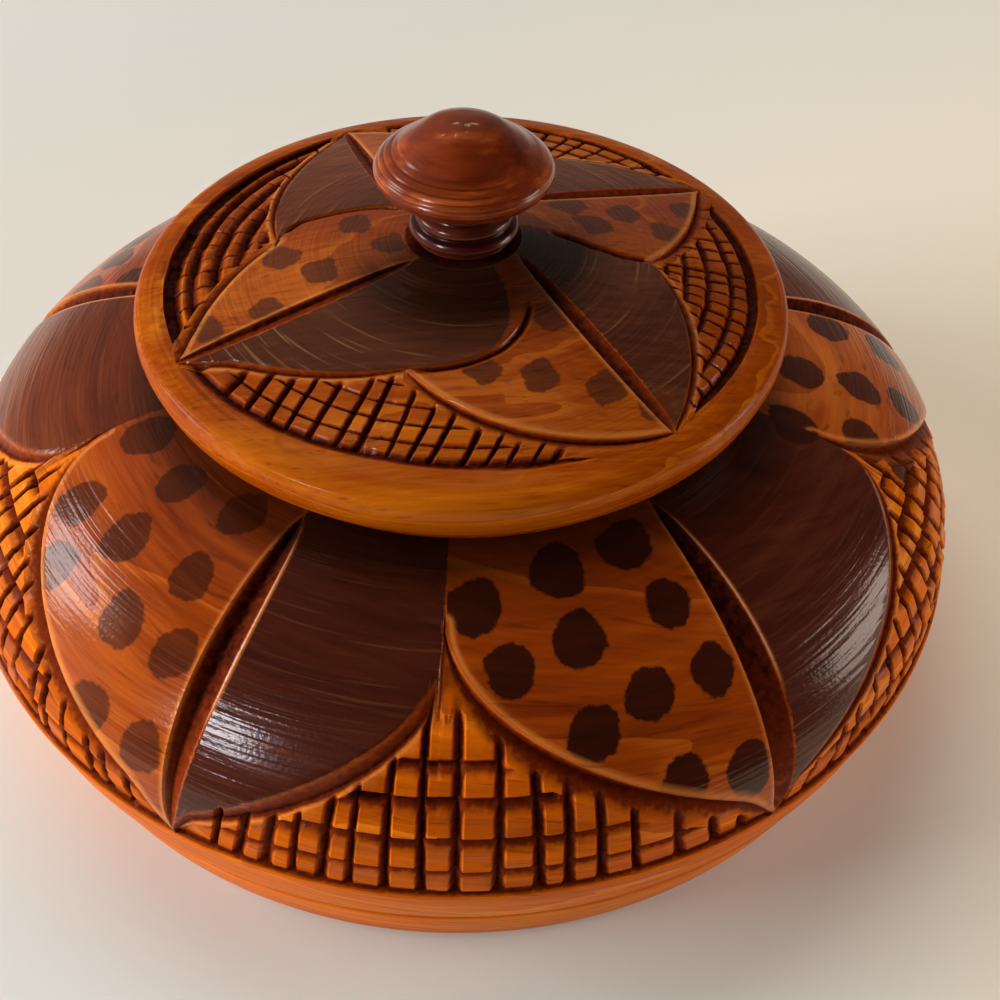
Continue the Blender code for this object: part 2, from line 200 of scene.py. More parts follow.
def veinEdges(shape, leaf, run):
    # Angles of the vein's middle and of its two edges, the dotted side first
    middle = shape["veinTurn"](leaf, run)
    share = np.clip((run - shape["veinRuns"][0]) / (shape["veinRuns"][1] - shape["veinRuns"][0]), 0, 1)
    swell = np.sin(np.pi * share ** shape["veinPeak"][leaf]) ** shape["veinSwell"]
    width = shape["veinWidth"] * swell + shape["veinLeast"]
    degrees = np.degrees(width / shape["radiusAt"](run))
    dotted = veinSection["dottedPart"]
    return middle, middle - dotted * degrees, middle + (1 - dotted) * degrees


def shadeAt(shape, turn, run):
    # Painted shade beside the knob or under the lid's rim, where their shadows fall, most of it at the
    # front: 1 where darkest
    facing = smooth(np.cos(np.radians(turn - shape["shadeTurn"])), -0.4, 0.5)
    return smooth(run, *shape["shadeRuns"]) * (shape["shadeBack"] + (1 - shape["shadeBack"]) * facing)


def planHalf(shape, style, dark, low, high, random):
    # Shares across one half of a field where the mesh has a column, with the hatch cuts among them
    arc = math.radians(high - low) * shape["hatchRadius"]
    turns = np.array(style.get("darkTurns" if dark else "lightTurns", ()))
    if len(turns):
        keels = (turns - low) / (high - low)
    else:
        count = max(round(arc / style["pitch"]), 2)
        wander = handwork["wander"]
        keels = (np.arange(count) + 0.5 + random.uniform(-wander, wander, count)) / count
    wide = style["cutWidth"] / arc / 2 * random.uniform(*handwork["widths"], len(keels))
    wide = np.minimum(wide, handwork["widest"] * np.min(np.diff(keels)))
    left, right = keels - wide, keels + wide
    cells = np.concatenate([[0.0], right]), np.concatenate([left, [1.0]])
    inner = np.concatenate([cells[0] + (cells[1] - cells[0]) * part for part in shape["cellColumns"]])
    lips = np.array(handwork["lips"]) / arc
    walls = np.concatenate([keels - 0.5 * wide, keels + 0.5 * wide])
    shares = np.concatenate([lips, 1 - lips, left, keels, right, walls, inner])
    shares = np.unique(np.clip(shares, 0.0, 1.0))
    keep = np.concatenate([[True], np.diff(shares) > shape["leastColumn"] / arc])
    keep[-1] = True
    shares = shares[keep | np.isin(shares, keels)]
    gap = np.abs(shares[:, None] - keels[None, :])
    nearest = gap.argmin(axis=1)
    reach = gap[np.arange(len(shares)), nearest] / wide[nearest]
    knots = np.stack([left, right], axis=1).ravel()

    def perCell(low, high):
        # One random value for each cell, easing from cell to cell inside the cuts
        return np.interp(shares, knots, np.repeat(random.uniform(low, high, len(keels) + 1), 2)[1:-1])

    leans = random.uniform(-handwork["lean"], handwork["lean"], len(keels))
    lean = np.interp(shares, [0.0, *keels, 1.0], [0.0, *leans, 0.0]) / arc
    if "slantTo" in style:
        # Parallel cuts: a line in a fixed direction turns by tan(direction - turn) / radius per length
        away = np.radians(style["slantTo"] - (low + (high - low) * shares))
        slope = -np.tan(np.clip(away, -0.8, 0.8)) / shape["hatchRadius"] / math.radians(high - low)
        fromVein = shares if dark else 1 - shares
        lean = lean + slope * smooth(fromVein, 0.02, 0.3) * smooth(1 - fromVein, 0.0, 0.12)
    return {
        "share": shares,
        "cut": np.clip(1 - reach, 0.0, 1.0),
        "strength": random.uniform(*handwork["strengths"], len(keels))[nearest],
        "top": random.uniform(-handwork["ends"], handwork["ends"], len(keels))[nearest],
        "lean": lean,
        "shift": np.stack([perCell(-1, 1) for _ in shape["rows"]]),
        "row": np.stack([perCell(*handwork["rowDepths"]) for _ in shape["rows"]]),
        "drop": perCell(0, 1),
        "tilt": perCell(-1, 1),
    }


def carveSector(shape, outline, sector, random):
    # Angle, run, depth and marks for the columns from one vein to the next
    style = shape["styles"][sector % len(shape["styles"])]
    after = (sector + 1) % shape["leaves"]
    wrap = 360.0 if after == 0 else 0.0
    notch = shape["notches"][sector]
    top = outline["run"][-1]
    vein = float(shape["veinTurn"](sector, 0.0))
    nextVein = float(shape["veinTurn"](after, 0.0)) + wrap
    dark = planHalf(shape, style, True, vein, notch, random)
    light = planHalf(shape, style, False, notch, nextVein, random)
    keys = ("share", "cut", "strength", "top", "lean", "shift", "row", "drop", "tilt")
    both = {key: np.concatenate([dark[key], light[key][..., 1:]], axis=-1) for key in keys}
    isDark = np.arange(len(both["share"])) < len(dark["share"])
    darkCut, lightCut = shape["darkCuts"][sector], shape["lightCuts"][sector]

    def turnAt(run):
        # Angle of each column where it crosses a given run
        share = both["share"] + both["lean"] * (np.minimum(run, shape["leanRun"]) - shape["leanRun"] / 2)
        share = np.clip(share, 0.0, 1.0)
        darkEdge = veinEdges(shape, sector, run)[2]
        lightEdge = veinEdges(shape, after, run)[1] + wrap
        notchLine = shape["notchTurn"](sector, run)
        onDark = darkEdge + (notchLine - darkEdge) * share
        onLight = notchLine + (lightEdge - notchLine) * share
        return np.where(isDark, onDark, onLight)

    def edgeRun(turn, darkSide):
        cut = darkCut if darkSide else lightCut
        share = (notch - turn) / (notch - vein) if darkSide else (turn - notch) / (nextVein - notch)
        return scallopRun(share, cut)

    # Leaf edge over each column, found by a few rounds of reading the angle at that edge
    edge = np.full(len(both["share"]), 5.0)
    for _ in range(8):
        turn = turnAt(edge)
        edge = 0.5 * edge + 0.5 * np.where(isDark, edgeRun(turn, True), edgeRun(turn, False))
    turn = turnAt(edge)
    fromNotch = np.radians(np.abs(turn - notch)) * shape["hatchRadius"]
    bridge = (lightCut["notch"] - darkCut["notch"]) * np.exp(-(fromNotch / shape["bridge"]) ** 2)
    edge = edge + np.where(isDark, bridge, 0.0)
    arcStep = np.maximum(np.radians(np.gradient(turn)) * shape["hatchRadius"], 0.05)
    steep = np.sqrt(1 + np.clip(np.abs(np.gradient(edge)) / arcStep, 0, shape["steepest"]) ** 2)
    fieldSide = np.where(isDark, shape["darkFieldWidth"], shape["lightFieldWidth"]) * steep
    leafSide = np.where(isDark, shape["darkLeafWidth"], shape["lightLeafWidth"]) * steep
    fieldTop = np.maximum(edge - fieldSide, 0.3 * edge)

    # Rows: the hatch rows, then across the gouge, then up the leaf. The lowest rows of a field may be
    # drawn in from the circle, most of all in the middle of the field.
    bow = np.clip(np.sin(np.pi * (turn - vein) / (nextVein - vein)), 0, 1)
    inset = style.get("inset", 0.0) * bow
    nominal = [np.full_like(edge, place) for place in (0.0, shape["sinkRun"], 0.4, 0.85)]
    rowPart, rowOf = [0.0] * 4, [0] * 4
    for number, row in enumerate(shape["rows"]):
        rowScale = style["rowWidth"] * (style.get("grooveWidth", 1.0) if number == 0 else 1.0)
        place = row["run"] + row["jitter"] * both["shift"][number] + inset * max(1 - 0.35 * number, 0.0)
        slope = (-0.4 * row["lower"], row.get("flat", shape["rowFlat"]))
        for offset, part in ((-row["lower"], 0.0), slope, (0.0, 1.0), (row["upper"], 0.0)):
            nominal.append(place + offset * rowScale)
            rowPart.append(part)
            rowOf.append(number)
        if number + 1 < len(shape["rows"]):
            following = shape["rows"][number + 1]
            nominal.append(np.full_like(edge, (row["run"] + following["run"]) / 2))
            rowPart.append(0.0)
            rowOf.append(number)
    nominal = np.maximum.accumulate(np.array(nominal), axis=0)
    least = shape["leastStep"]
    packed = fieldTop[None] - least * np.arange(len(nominal))[::-1, None]
    field = np.minimum(nominal, np.maximum(packed, least * np.arange(len(nominal))[:, None] * 0.5))
    across = fieldTop + (edge - fieldTop) * np.array(shape["gougeShares"])[:, None]
    leaf = edge + leafSide * np.array([0.3, 0.65, 1.0])[:, None]
    start = leaf[-1] + 0.3
    upper = start + (top - start) * np.linspace(0, 1, shape["leafRows"])[:, None]
    run = np.vstack([field, across, leaf, upper])
    rows, columns = run.shape
    turn = np.stack([turnAt(line) for line in run])
    points = placePoints(outline, turn, run)
    flat = points.reshape(-1, 3)
    radius = readOutline(outline, run, "radius")

    # Paths of the two scallop gouges, the notch line and the veins
    sweep = np.linspace(0, 1, 48) ** 2
    lightTurn = notch + (nextVein - notch) * sweep
    darkTurn = notch + (vein - notch) * sweep
    lightPath = placePoints(outline, lightTurn, edgeRun(lightTurn, False))
    darkPath = placePoints(outline, darkTurn, edgeRun(darkTurn, True))
    climb = np.linspace(darkCut["notch"], top, 60)
    notchPath = placePoints(outline, shape["notchTurn"](sector, climb), climb)
    stainPath = placePoints(outline, shape["stainTurn"](sector, climb), climb)
    rise = np.linspace(shape["veinRuns"][0], top, 60)
    veinPath = placePoints(outline, veinEdges(shape, sector, rise)[2], rise)
    nextPath = placePoints(outline, veinEdges(shape, after, rise)[2] + wrap, rise)
    nextLip = placePoints(outline, veinEdges(shape, after, rise)[1] + wrap, rise)

    lightGap, lightAlong = [part.reshape(rows, columns) for part in nearestOnPath(flat, lightPath)]
    darkGap, darkAlong = [part.reshape(rows, columns) for part in nearestOnPath(flat, darkPath)]
    onDark = np.broadcast_to(isDark, run.shape)
    aboveDark = onDark & (run > edgeRun(turn, True))
    aboveLight = ~onDark & (run > edgeRun(turn, False))
    inField = ~(aboveDark | aboveLight)

    def gouge(gap, along, onLeaf, leafWidth, fieldWidth, deep, opening, strokes):
        # A keeled cut: its walls rise evenly to each side, in short strokes of the chisel
        swell = np.clip(np.sin(np.pi * along), 0, 1) ** 0.45
        opened = 0.12 + 0.88 * smooth(along, 0.0, opening)
        stroke = 1 + shape["strokeDepth"] * (np.abs(np.sin(np.pi * (strokes * along + 0.3))) - 0.6)
        width = np.where(onLeaf, leafWidth, fieldWidth * opened * stroke) * np.maximum(swell, 0.08)
        wall = np.clip(1 - gap / width, 0, 1)
        rest = np.where(onLeaf, 0.0, shape["sink"] * inField)
        return rest + (deep * swell - rest) * wall ** np.where(onLeaf, 0.9, 1.15), wall

    lightDepth, lightWall = gouge(lightGap, lightAlong, aboveLight, shape["lightLeafWidth"],
                                  shape["lightFieldWidth"], shape["lightDepth"], shape["opening"], 9)
    darkDepth, darkWall = gouge(darkGap, darkAlong, aboveDark, shape["darkLeafWidth"],
                                shape["darkFieldWidth"], shape["darkDepth"], 0.02, 7)
    lightDepth = np.where(lightWall > 0, lightDepth, 0.0)
    darkDepth = np.where(darkWall > 0, darkDepth, 0.0)
    above = run - inset - shape["sinkFrom"]
    sink = shape["sink"] * inField * smooth(above, 0.0, shape["sinkRun"]) * smooth(edge - 0.3, 0, 1.0)
    depth = np.maximum(sink, np.maximum(lightDepth, darkDepth))

    # Hatch cuts run down the field and a little way up the gouge slopes
    teeth = style.get("teeth", 0.0) * isDark * (1 - smooth(both["share"], 0.14, 0.36))
    reachTop = fieldTop + (edge - fieldTop) * style["overrun"] + both["top"] + teeth
    window = smooth(run - inset, shape["hatchStart"] - 0.25, shape["hatchStart"] + 0.4)
    window = window * (1 - smooth(run, reachTop - 1.0, reachTop)) * smooth(edge, 1.0, 2.5)
    hatch = both["cut"] * both["strength"] * style["cutDepth"] * window
    rowDepth = np.zeros_like(run)
    rowDepths = np.array([row["depth"] for row in shape["rows"]]) * style["rowDepth"]
    for line in range(len(nominal)):
        number = rowOf[line]
        if rowPart[line] and number < style.get("rowsCut", len(shape["rows"])):
            present = smooth(fieldTop - nominal[line], 0.0, shape["rowFade"])
            rowDepth[line] = rowPart[line] * rowDepths[number] * both["row"][number] * present
    uneven = both["drop"] + both["tilt"] * np.sin(run * handwork["cellWave"])
    cellDrop = shape["cellDrop"] * uneven * inField * smooth(run, 0.1, 0.6)
    depth = depth + np.maximum(hatch, rowDepth) + cellDrop * smooth(fieldTop - run, 0.0, 1.0)

    # Groove along the notch line above the junction, where the shape has one
    notchGap, notchAlong = [part.reshape(rows, columns) for part in nearestOnPath(flat, notchPath)]
    line = shape["notchGroove"][sector]
    swell = line["depth"] * smooth(notchAlong, line["start"], line["start"] + 0.12)
    swell = swell * (1 - smooth(notchAlong, line["stop"] - 0.15, line["stop"]))
    notchWall = np.clip(1 - notchGap / np.where(onDark, line["darkWidth"], line["lightWidth"]), 0, 1)
    depth = np.maximum(depth, swell * notchWall)
    toneNotch = notchWall * (swell > 0.02) * smooth(swell, 0.0, 0.3)

    # Stain: distance inside the edge of the dark half, negative outside
    gaps = [nearestOnPath(flat, path)[0] for path in (stainPath, veinPath, nextPath)]
    wallTop = shape["bareWall"] * np.clip(np.sin(np.pi * darkAlong), 0, 1) ** 0.45
    toEdge = np.minimum.reduce([gap.reshape(rows, columns) for gap in gaps] + [darkGap - wallTop])
    inside = aboveDark & (turn < shape["stainTurn"](sector, run))
    stain = np.where(inside, toEdge, -np.abs(toEdge) - 0.05)

    # Tone: 1 in the bottom of a cut, 0 on untouched wood, partly stain pooled in the cuts and partly painted
    # shade on their steep walls; lip: the worn edge of the dotted half, partly wear and partly painted
    # highlight
    tone = np.maximum.reduce([
        np.clip(hatch / style["cutDepth"], 0, 1) ** shape["cutSpread"],
        (rowDepth / max(rowDepths.max(), 0.01)) ** shape["rowSpread"] * shape["rowTone"],
        np.where(aboveLight, lightWall, shape["slopeTone"] * lightWall ** shape["slopeSpread"]),
        0.3 * (lightWall > 0.75),
        np.where(aboveDark, shape["slopeTone"] * darkWall ** shape["slopeSpread"], 0.9 * darkWall),
        toneNotch,
        shape["footTone"] * inField * smooth(run, 0.0, 0.1) * np.exp(-((run - 0.25) / 0.32) ** 2),
    ])
    # Lip: pale lines along the dotted edge, the dark half's ridge and the vein, partly wear and partly
    # painted highlight
    lipGap = nearestOnPath(flat, nextLip)[0].reshape(rows, columns)
    lip = np.where(aboveLight, np.exp(-((lightGap - shape["lightLeafWidth"] - 0.2) / 0.3) ** 2), 0.0)
    lip = np.maximum(lip, np.where(aboveLight, np.exp(-(lipGap / 0.3) ** 2), 0.0))
    ridge = np.exp(-((darkGap - shape["darkFieldWidth"]) / 0.28) ** 2) * smooth(run, 1.0, 2.5)
    lip = np.maximum(lip, np.where(onDark & inField, ridge, 0.0))
    veinGap = nearestOnPath(flat, veinPath)[0].reshape(rows, columns)
    wearAndHighlight = smooth(run, *shape["wearAndHighlightRuns"][:2]) * (1 - smooth(run, *shape["wearAndHighlightRuns"][2:]))
    lip = np.maximum(lip, np.where(aboveDark, 1.6 * wearAndHighlight * np.exp(-(veinGap / 0.22) ** 2), 0.0))
    return {
        "turn": turn,
        "run": run,
        "radius": radius,
        "depth": depth,
        "stain": stain,
        "tone": np.clip(tone, 0, 1),
        "lip": lip,
        "pale": inField * (1 - shape["cellSpread"] * np.clip(uneven, 0, 1)),
        "shade": shadeAt(shape, turn, run),
        "dense": np.where(onDark, shape["stainDense"][sector], 1.0),
    }


def carveVein(shape, outline, leaf, run):
    # Columns inside the vein groove, sharing the rows of the column beside them
    middle, lightEdge, darkEdge = veinEdges(shape, leaf, run)
    places, walls = np.array(veinSection["places"]), np.array(veinSection["walls"])
    turn = lightEdge[:, None] + (darkEdge - lightEdge)[:, None] * places
    share = np.clip((run - shape["veinRuns"][0]) / (shape["veinRuns"][1] - shape["veinRuns"][0]), 0, 1)
    deep = shape["veinDepth"] * np.sin(np.pi * share ** shape["veinPeak"][leaf]) ** shape["veinSwell"]
    depth = deep[:, None] * walls
    fade = shape["veinLight"] + (1 - shape["veinLight"]) * smooth(run, *shape["veinDark"])
    runs = np.broadcast_to(run[:, None], turn.shape)
    radius = readOutline(outline, runs, "radius")
    width = np.radians(darkEdge - lightEdge)[:, None] * radius
    return {
        "turn": turn,
        "run": runs,
        "radius": radius,
        "depth": depth,
        "stain": -width * (1 - places),
        "tone": (smooth(deep, 0.0, 0.35) * fade)[:, None] * np.array(shape["veinTones"]),
        "lip": np.zeros_like(turn),
        "pale": np.zeros_like(turn),
        "shade": shadeAt(shape, turn, runs),
        "dense": np.ones_like(turn),
    }


def carve(shape, outline, seed):
    # The whole carved band: sectors and veins side by side, all the way round
    random = np.random.default_rng(seed)
    sectors = [carveSector(shape, outline, sector, random) for sector in range(shape["leaves"])]
    whole = []
    for leaf, sector in enumerate(sectors):
        run = 0.5 * (sectors[leaf - 1]["run"][:, -1] + sector["run"][:, 0])
        whole.append(carveVein(shape, outline, leaf, run))
        whole.append(sector)
    return {key: np.concatenate([part[key] for part in whole], axis=1) for key in whole[0]}


def markDots(band, dots, sizes, random):
    # Distance inside the nearest brushed dot: its uneven radius less the distance from its middle. Each dot
    # has a small point where the brush came off, and its own strength of stain.
    best = np.full_like(band["run"], -20.0)
    for turn, run, dense in dots:
        east = np.radians((band["turn"] - turn + 180) % 360 - 180) * band["radius"]
        north = band["run"] - run
        way = np.arctan2(north, east)
        size = sizes["radius"] * random.uniform(0.88, 1.08)
        phase = random.uniform(0, 2 * np.pi, 3)
        wave = sum(share * np.cos(count * way + phase[place])
                   for place, (count, share) in enumerate(sizes["waves"]))
        point = np.radians(random.normal(sizes["pointTo"], sizes["pointSpread"]))
        offPoint = np.angle(np.exp(1j * (way - point)))
        wave = wave + sizes["point"] * np.exp(-(offPoint / 0.4) ** 2) + 0.05 * np.cos(2 * offPoint)
        within = size * (1 + wave) - np.hypot(east, north)
        band["dense"] = np.where((within > best) & (within > -0.8), dense, band["dense"])
        best = np.maximum(best, within)
    band["dots"] = best


def assemble(name, before, band, after, outline, poles, insideShade, plainRows=(0, 0), every=1):
    # Joins the plain turned rows below and inside, each a radius, a height and a tone, with the carved band
    # between them
    columns = band["turn"].shape[1]
    out, up = readOutline(outline, band["run"], "out"), readOutline(outline, band["run"], "up")
    radius = [np.repeat(before[:, :1], columns, axis=1), band["radius"] - band["depth"] * out]
    height = [np.repeat(before[:, 1:2], columns, axis=1),
              readOutline(outline, band["run"], "height") - band["depth"] * up]
    radius.append(np.repeat(after[:, :1], columns, axis=1))
    height.append(np.repeat(after[:, 1:2], columns, axis=1))
    turn = np.vstack([np.repeat(band["turn"][:1], len(before), axis=0), band["turn"],
                      np.repeat(band["turn"][-1:], len(after), axis=0)])
    plainMarks = {"stain": -9.0, "dots": -9.0, "lip": 0.0, "pale": 1.0, "shade": 0.0, "dense": 1.0}
    marks = {}
    for word, plain in plainMarks.items():
        low, high = np.full((len(before), columns), plain), np.full((len(after), columns), plain)
        # The rows inside carry on the top band row's painted shade, times insideShade
        if word == "shade":
            high = np.repeat(insideShade * band[word][-1:], len(after), axis=0)
        marks[word] = np.vstack([low, band[word], high])
    low, high = np.repeat(before[:, 2:3], columns, axis=1), np.repeat(after[:, 2:3], columns, axis=1)
    marks["tone"] = np.vstack([low, band["tone"], high])
    return turnedMesh(name, turn, np.vstack(radius), np.vstack(height), poles, marks, plainRows, every)


# Box: five leaves on the shoulder, over a plain foot and base band
boxShape = {
    "seed": 7,
    "belly": 65.0,
    "bellyHeight": 19.5,
    "shoulderCentre": 30.0,
    "shoulderRise": 20.0,
    "fieldLine": 17.6,
    "mouthRim": 34.3,
    # Outlines from here on: radius, height and tone of each point
    "underside": ((15.0, 1.2, 0.0), (40.0, 1.2, 0.0)),
    "base": ((46.0, 1.2, 0.0), (47.2, 0.0, 0.0), (59.8, 0.0, 0.0), (60.5, 0.7, 0.0), (62.9, 8.9, 0.0),
             (62.4, 9.6, 0.8), (63.4, 10.3, 0.0), (64.65, 16.6, 0.0), (64.95, 17.2, 0.0)),
    "baseEase": 0.45,
    "rim": ((34.3, 39.35, 0.0), (33.9, 39.5, 0.0), (33.4, 39.5, 0.0), (33.0, 39.1, 0.0), (33.0, 33.5, 0.0)),
    "rimEase": 0.2,
    "bowlFloor": ((25.0, 6.5, 0.0), (8.0, 6.5, 0.0)),
    # The bowl is undercut behind the rim, along half an ellipse
    "bowlCentre": (34.0, 20.0),
    "bowlHalf": (18.0, 13.5),
    "bowlTurns": (84.0, -84.0),
    "bowlRows": 14,
    "poles": (1.2, 6.5),
    "leaves": 5,
    "veins": (14.0, 90.0, 166.0, 243.9, 305.4),
    "veinLean": (2.0, -1.5, 1.5, -1.1, 4.6),
    "veinPeak": (0.9, 1.0, 0.8, 1.05, 0.7),
    "notches": (53.0, 128.0, 203.0, 270.0, 342.0),
    "hatchRadius": 63.0,
    "leanRun": 16.0,
    "bridge": 0.9,
    "sink": 0.55,
    "sinkFrom": 0.0,
    "sinkRun": 0.12,
    "hatchStart": 0.0,
    "leastStep": 0.03,
    "leastColumn": 0.06,
    "steepest": 2.5,
    "rowFlat": 0.42,
    "leafRows": 34,
    "plainBelow": 11.0,                 # below this height and inside the mouth the rows are coarser
    "plainEvery": 4,
    "gougeShares": (0.0, 0.3, 0.6, 0.85, 1.0),
    "veinRuns": (1.6, 40.0),
    "veinWidth": 3.7,
    "veinLeast": 0.12,
    "veinSwell": 0.55,
    "veinDepth": 1.5,
    "veinTones": (0.75, 0.9, 0.9, 0.8),
    "veinLight": 0.5,
    "veinDark": (4.0, 24.0),
    "lightLeafWidth": 0.55,
    "lightFieldWidth": 2.7,
    "lightDepth": 1.35,
    "darkLeafWidth": 1.7,
    "darkFieldWidth": 0.8,
    "darkDepth": 1.0,
    "bareWall": 1.6,
    "opening": 0.3,
    "slopeTone": 0.64,
    "slopeSpread": 0.5,
    "rowTone": 0.9,
    "rowSpread": 0.6,
    "cellSpread": 0.45,
    # Painted shade under the lid's rim, where its shadow falls on the shoulder: runs, facing turn, share
    # behind
    "shadeRuns": (31.5, 39.5),
    "shadeTurn": 268.0,
    "shadeBack": 0.35,
    "cutSpread": 0.8,
    # The stain is lighter on the leaves at the back and the left
    "stainDense": (0.88, 0.85, 0.8, 1.0, 1.0),
    "rowFade": 0.6,
    "footTone": 0.85,
    "cellDrop": 0.17,
    "cellColumns": (0.2, 0.4, 0.6, 0.8),
    "strokeDepth": 0.22,
    "wearAndHighlightRuns": (14.0, 19.0, 36.0, 40.0),
    "rows": (
        {"run": 4.3, "lower": 1.5, "upper": 0.28, "depth": 0.75, "jitter": 0.30},
        {"run": 8.3, "lower": 1.7, "upper": 0.28, "depth": 0.75, "jitter": 0.30},
        {"run": 12.8, "lower": 2.0, "upper": 0.3, "depth": 0.9, "jitter": 0.12},
        {"run": 16.7, "lower": 2.0, "upper": 0.3, "depth": 0.85, "jitter": 0.12},
        {"run": 20.6, "lower": 1.0, "upper": 0.3, "depth": 0.6, "jitter": 0.15},
    ),
    "styles": (
        {"pitch": 3.6, "cutWidth": 1.3, "cutDepth": 0.85, "rowWidth": 1.0, "rowDepth": 1.0, "overrun": 0.5},
        {"pitch": 3.7, "cutWidth": 1.2, "cutDepth": 0.85, "rowWidth": 1.0, "rowDepth": 1.0, "overrun": 0.5},
        {"pitch": 3.5, "cutWidth": 1.3, "cutDepth": 0.8, "rowWidth": 1.1, "rowDepth": 1.1, "overrun": 0.5},
        {"darkTurns": (248.5, 251.3, 253.9, 256.4, 259.4, 261.9, 265.2, 268.6),
         "lightTurns": (271.9, 275.9, 279.6, 282.5, 285.6, 288.9, 293.3, 297.0, 300.3),
         "cutWidth": 1.45, "cutDepth": 0.95, "rowWidth": 1.0, "rowDepth": 1.0, "overrun": 0.4,
         "rowsCut": 4, "teeth": 3.0},
        {"pitch": 3.4, "cutWidth": 1.3, "cutDepth": 0.9, "rowWidth": 1.1, "rowDepth": 1.1, "overrun": 0.5},
    ),
    "darkCut": {"tip": 3.0, "notch": 25.5, "bend": 0.6, "fall": 1.0, "end": 0.6, "endRise": 45.0},
    "lightCut": {"tip": 3.0, "notch": 31.0, "bend": 0.55, "fall": 0.9, "end": 0.6, "endRise": 45.0},
    "noGroove": {"depth": 0.0, "start": 0.0, "stop": 1.0, "darkWidth": 0.3, "lightWidth": 0.3},
}

# Brushed dots of the box: turn and radius of each on the three leaves that the photograph shows
boxDots = {
    "seed": 11,
    "front": ((274, 43.1), (287, 39.9), (299, 39.0), (300, 46.9), (287, 47.8), (301, 54.5),
              (278, 49.9), (293, 54.5), (286, 56.5), (294, 62.0), (301, 62.9)),
    "left": ((213, 50.6), (223, 48.8), (235, 47.6), (231, 54.8), (239, 54.7), (221, 40.7),
             (234, 38.9), (208, 40.7), (218, 56.0), (232.5, 62.4), (240, 62.5)),
    "right": ((10, 48.8), (356, 42.6), (342, 42.4), (357, 50.7), (346, 51.0), (358, 57.3),
              (347, 56.7), (9, 57.2)),
    # The dots are lighter on the leaves at the left and the back
    "dense": {"front": 1.0, "left": 0.78, "right": 0.95, "back": 0.85},
    "backShifts": (-212.0, -137.0),     # the leaves behind repeat the front one, a little unevenly
    "backTurn": 0.5,
    "backRadius": 0.4,
    "radius": 2.95,
    "waves": ((3, 0.045), (4, 0.03), (7, 0.012)),
    "point": 0.17,
    "pointTo": 68.0,
    "pointSpread": 22.0,
}


def boxProfile(shape):
    # The shoulder is part of an ellipse from the field line up to the mouth rim
    halfWidth = shape["belly"] - shape["shoulderCentre"]
    start = math.degrees(math.asin((shape["fieldLine"] - shape["bellyHeight"]) / shape["shoulderRise"]))
    end = math.degrees(math.acos((shape["mouthRim"] - shape["shoulderCentre"]) / halfWidth))
    centre = (shape["shoulderCentre"], shape["bellyHeight"])
    return measureOutline(ellipse(centre, (halfWidth, shape["shoulderRise"]), start, end, 400))


def buildBox(shape, dotsLook):
    outline = boxProfile(shape)
    leaves = shape["leaves"]
    shape["radiusAt"] = lambda run: readOutline(outline, run, "radius")
    shape["veinTurn"] = lambda leaf, run: shape["veins"][leaf] + shape["veinLean"][leaf] * (
        np.clip(run, 0, 40) / 40 - 0.35)
    shape["notchTurn"] = lambda sector, run: shape["notches"][sector]
    shape["stainTurn"] = shape["notchTurn"]
    shape["darkCuts"] = [shape["darkCut"]] * leaves
    shape["lightCuts"] = [shape["lightCut"]] * leaves
    shape["notchGroove"] = [shape["noGroove"]] * leaves
    band = carve(shape, outline, shape["seed"])
    random = np.random.default_rng(dotsLook["seed"])

    def toRun(radius):
        # Run at a radius on the shoulder, past the widest line
        past = outline["run"] > outline["run"][outline["radius"].argmax()]
        return float(np.interp(-radius, -outline["radius"][past], outline["run"][past]))

    dots = [(turn, toRun(radius), dotsLook["dense"][leaf])
            for leaf in ("front", "left", "right") for turn, radius in dotsLook[leaf]]
    offTurn, offRadius = dotsLook["backTurn"], dotsLook["backRadius"]
    for shift in dotsLook["backShifts"]:
        for turn, radius in dotsLook["front"]:
            turn = turn + shift + random.uniform(-offTurn, offTurn)
            radius = radius + random.uniform(-offRadius, offRadius)
            dots.append((turn, toRun(radius), dotsLook["dense"]["back"]))
    markDots(band, dots, dotsLook, random)
    fieldFoot = (outline["radius"][0], outline["height"][0] - 0.05, 0.0)
    base = np.vstack([shape["underside"], easeCorners([*shape["base"], fieldFoot], shape["baseEase"])])
    rim = easeCorners(shape["rim"], shape["rimEase"])
    bowl = ellipse(shape["bowlCentre"], shape["bowlHalf"], *shape["bowlTurns"], shape["bowlRows"])
    bowl = np.column_stack([bowl, np.zeros(len(bowl))])
    inside = np.vstack([rim, bowl, shape["bowlFloor"]])
    plainRows = (int((base[:, 1] < shape["plainBelow"]).sum()), len(inside))
    return assemble("box_turned_and_carved", base, band, inside, outline, shape["poles"], 0.0,
                    plainRows, shape["plainEvery"])


box = buildBox(boxShape, boxDots)
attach(box, "box")
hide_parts("box_body")


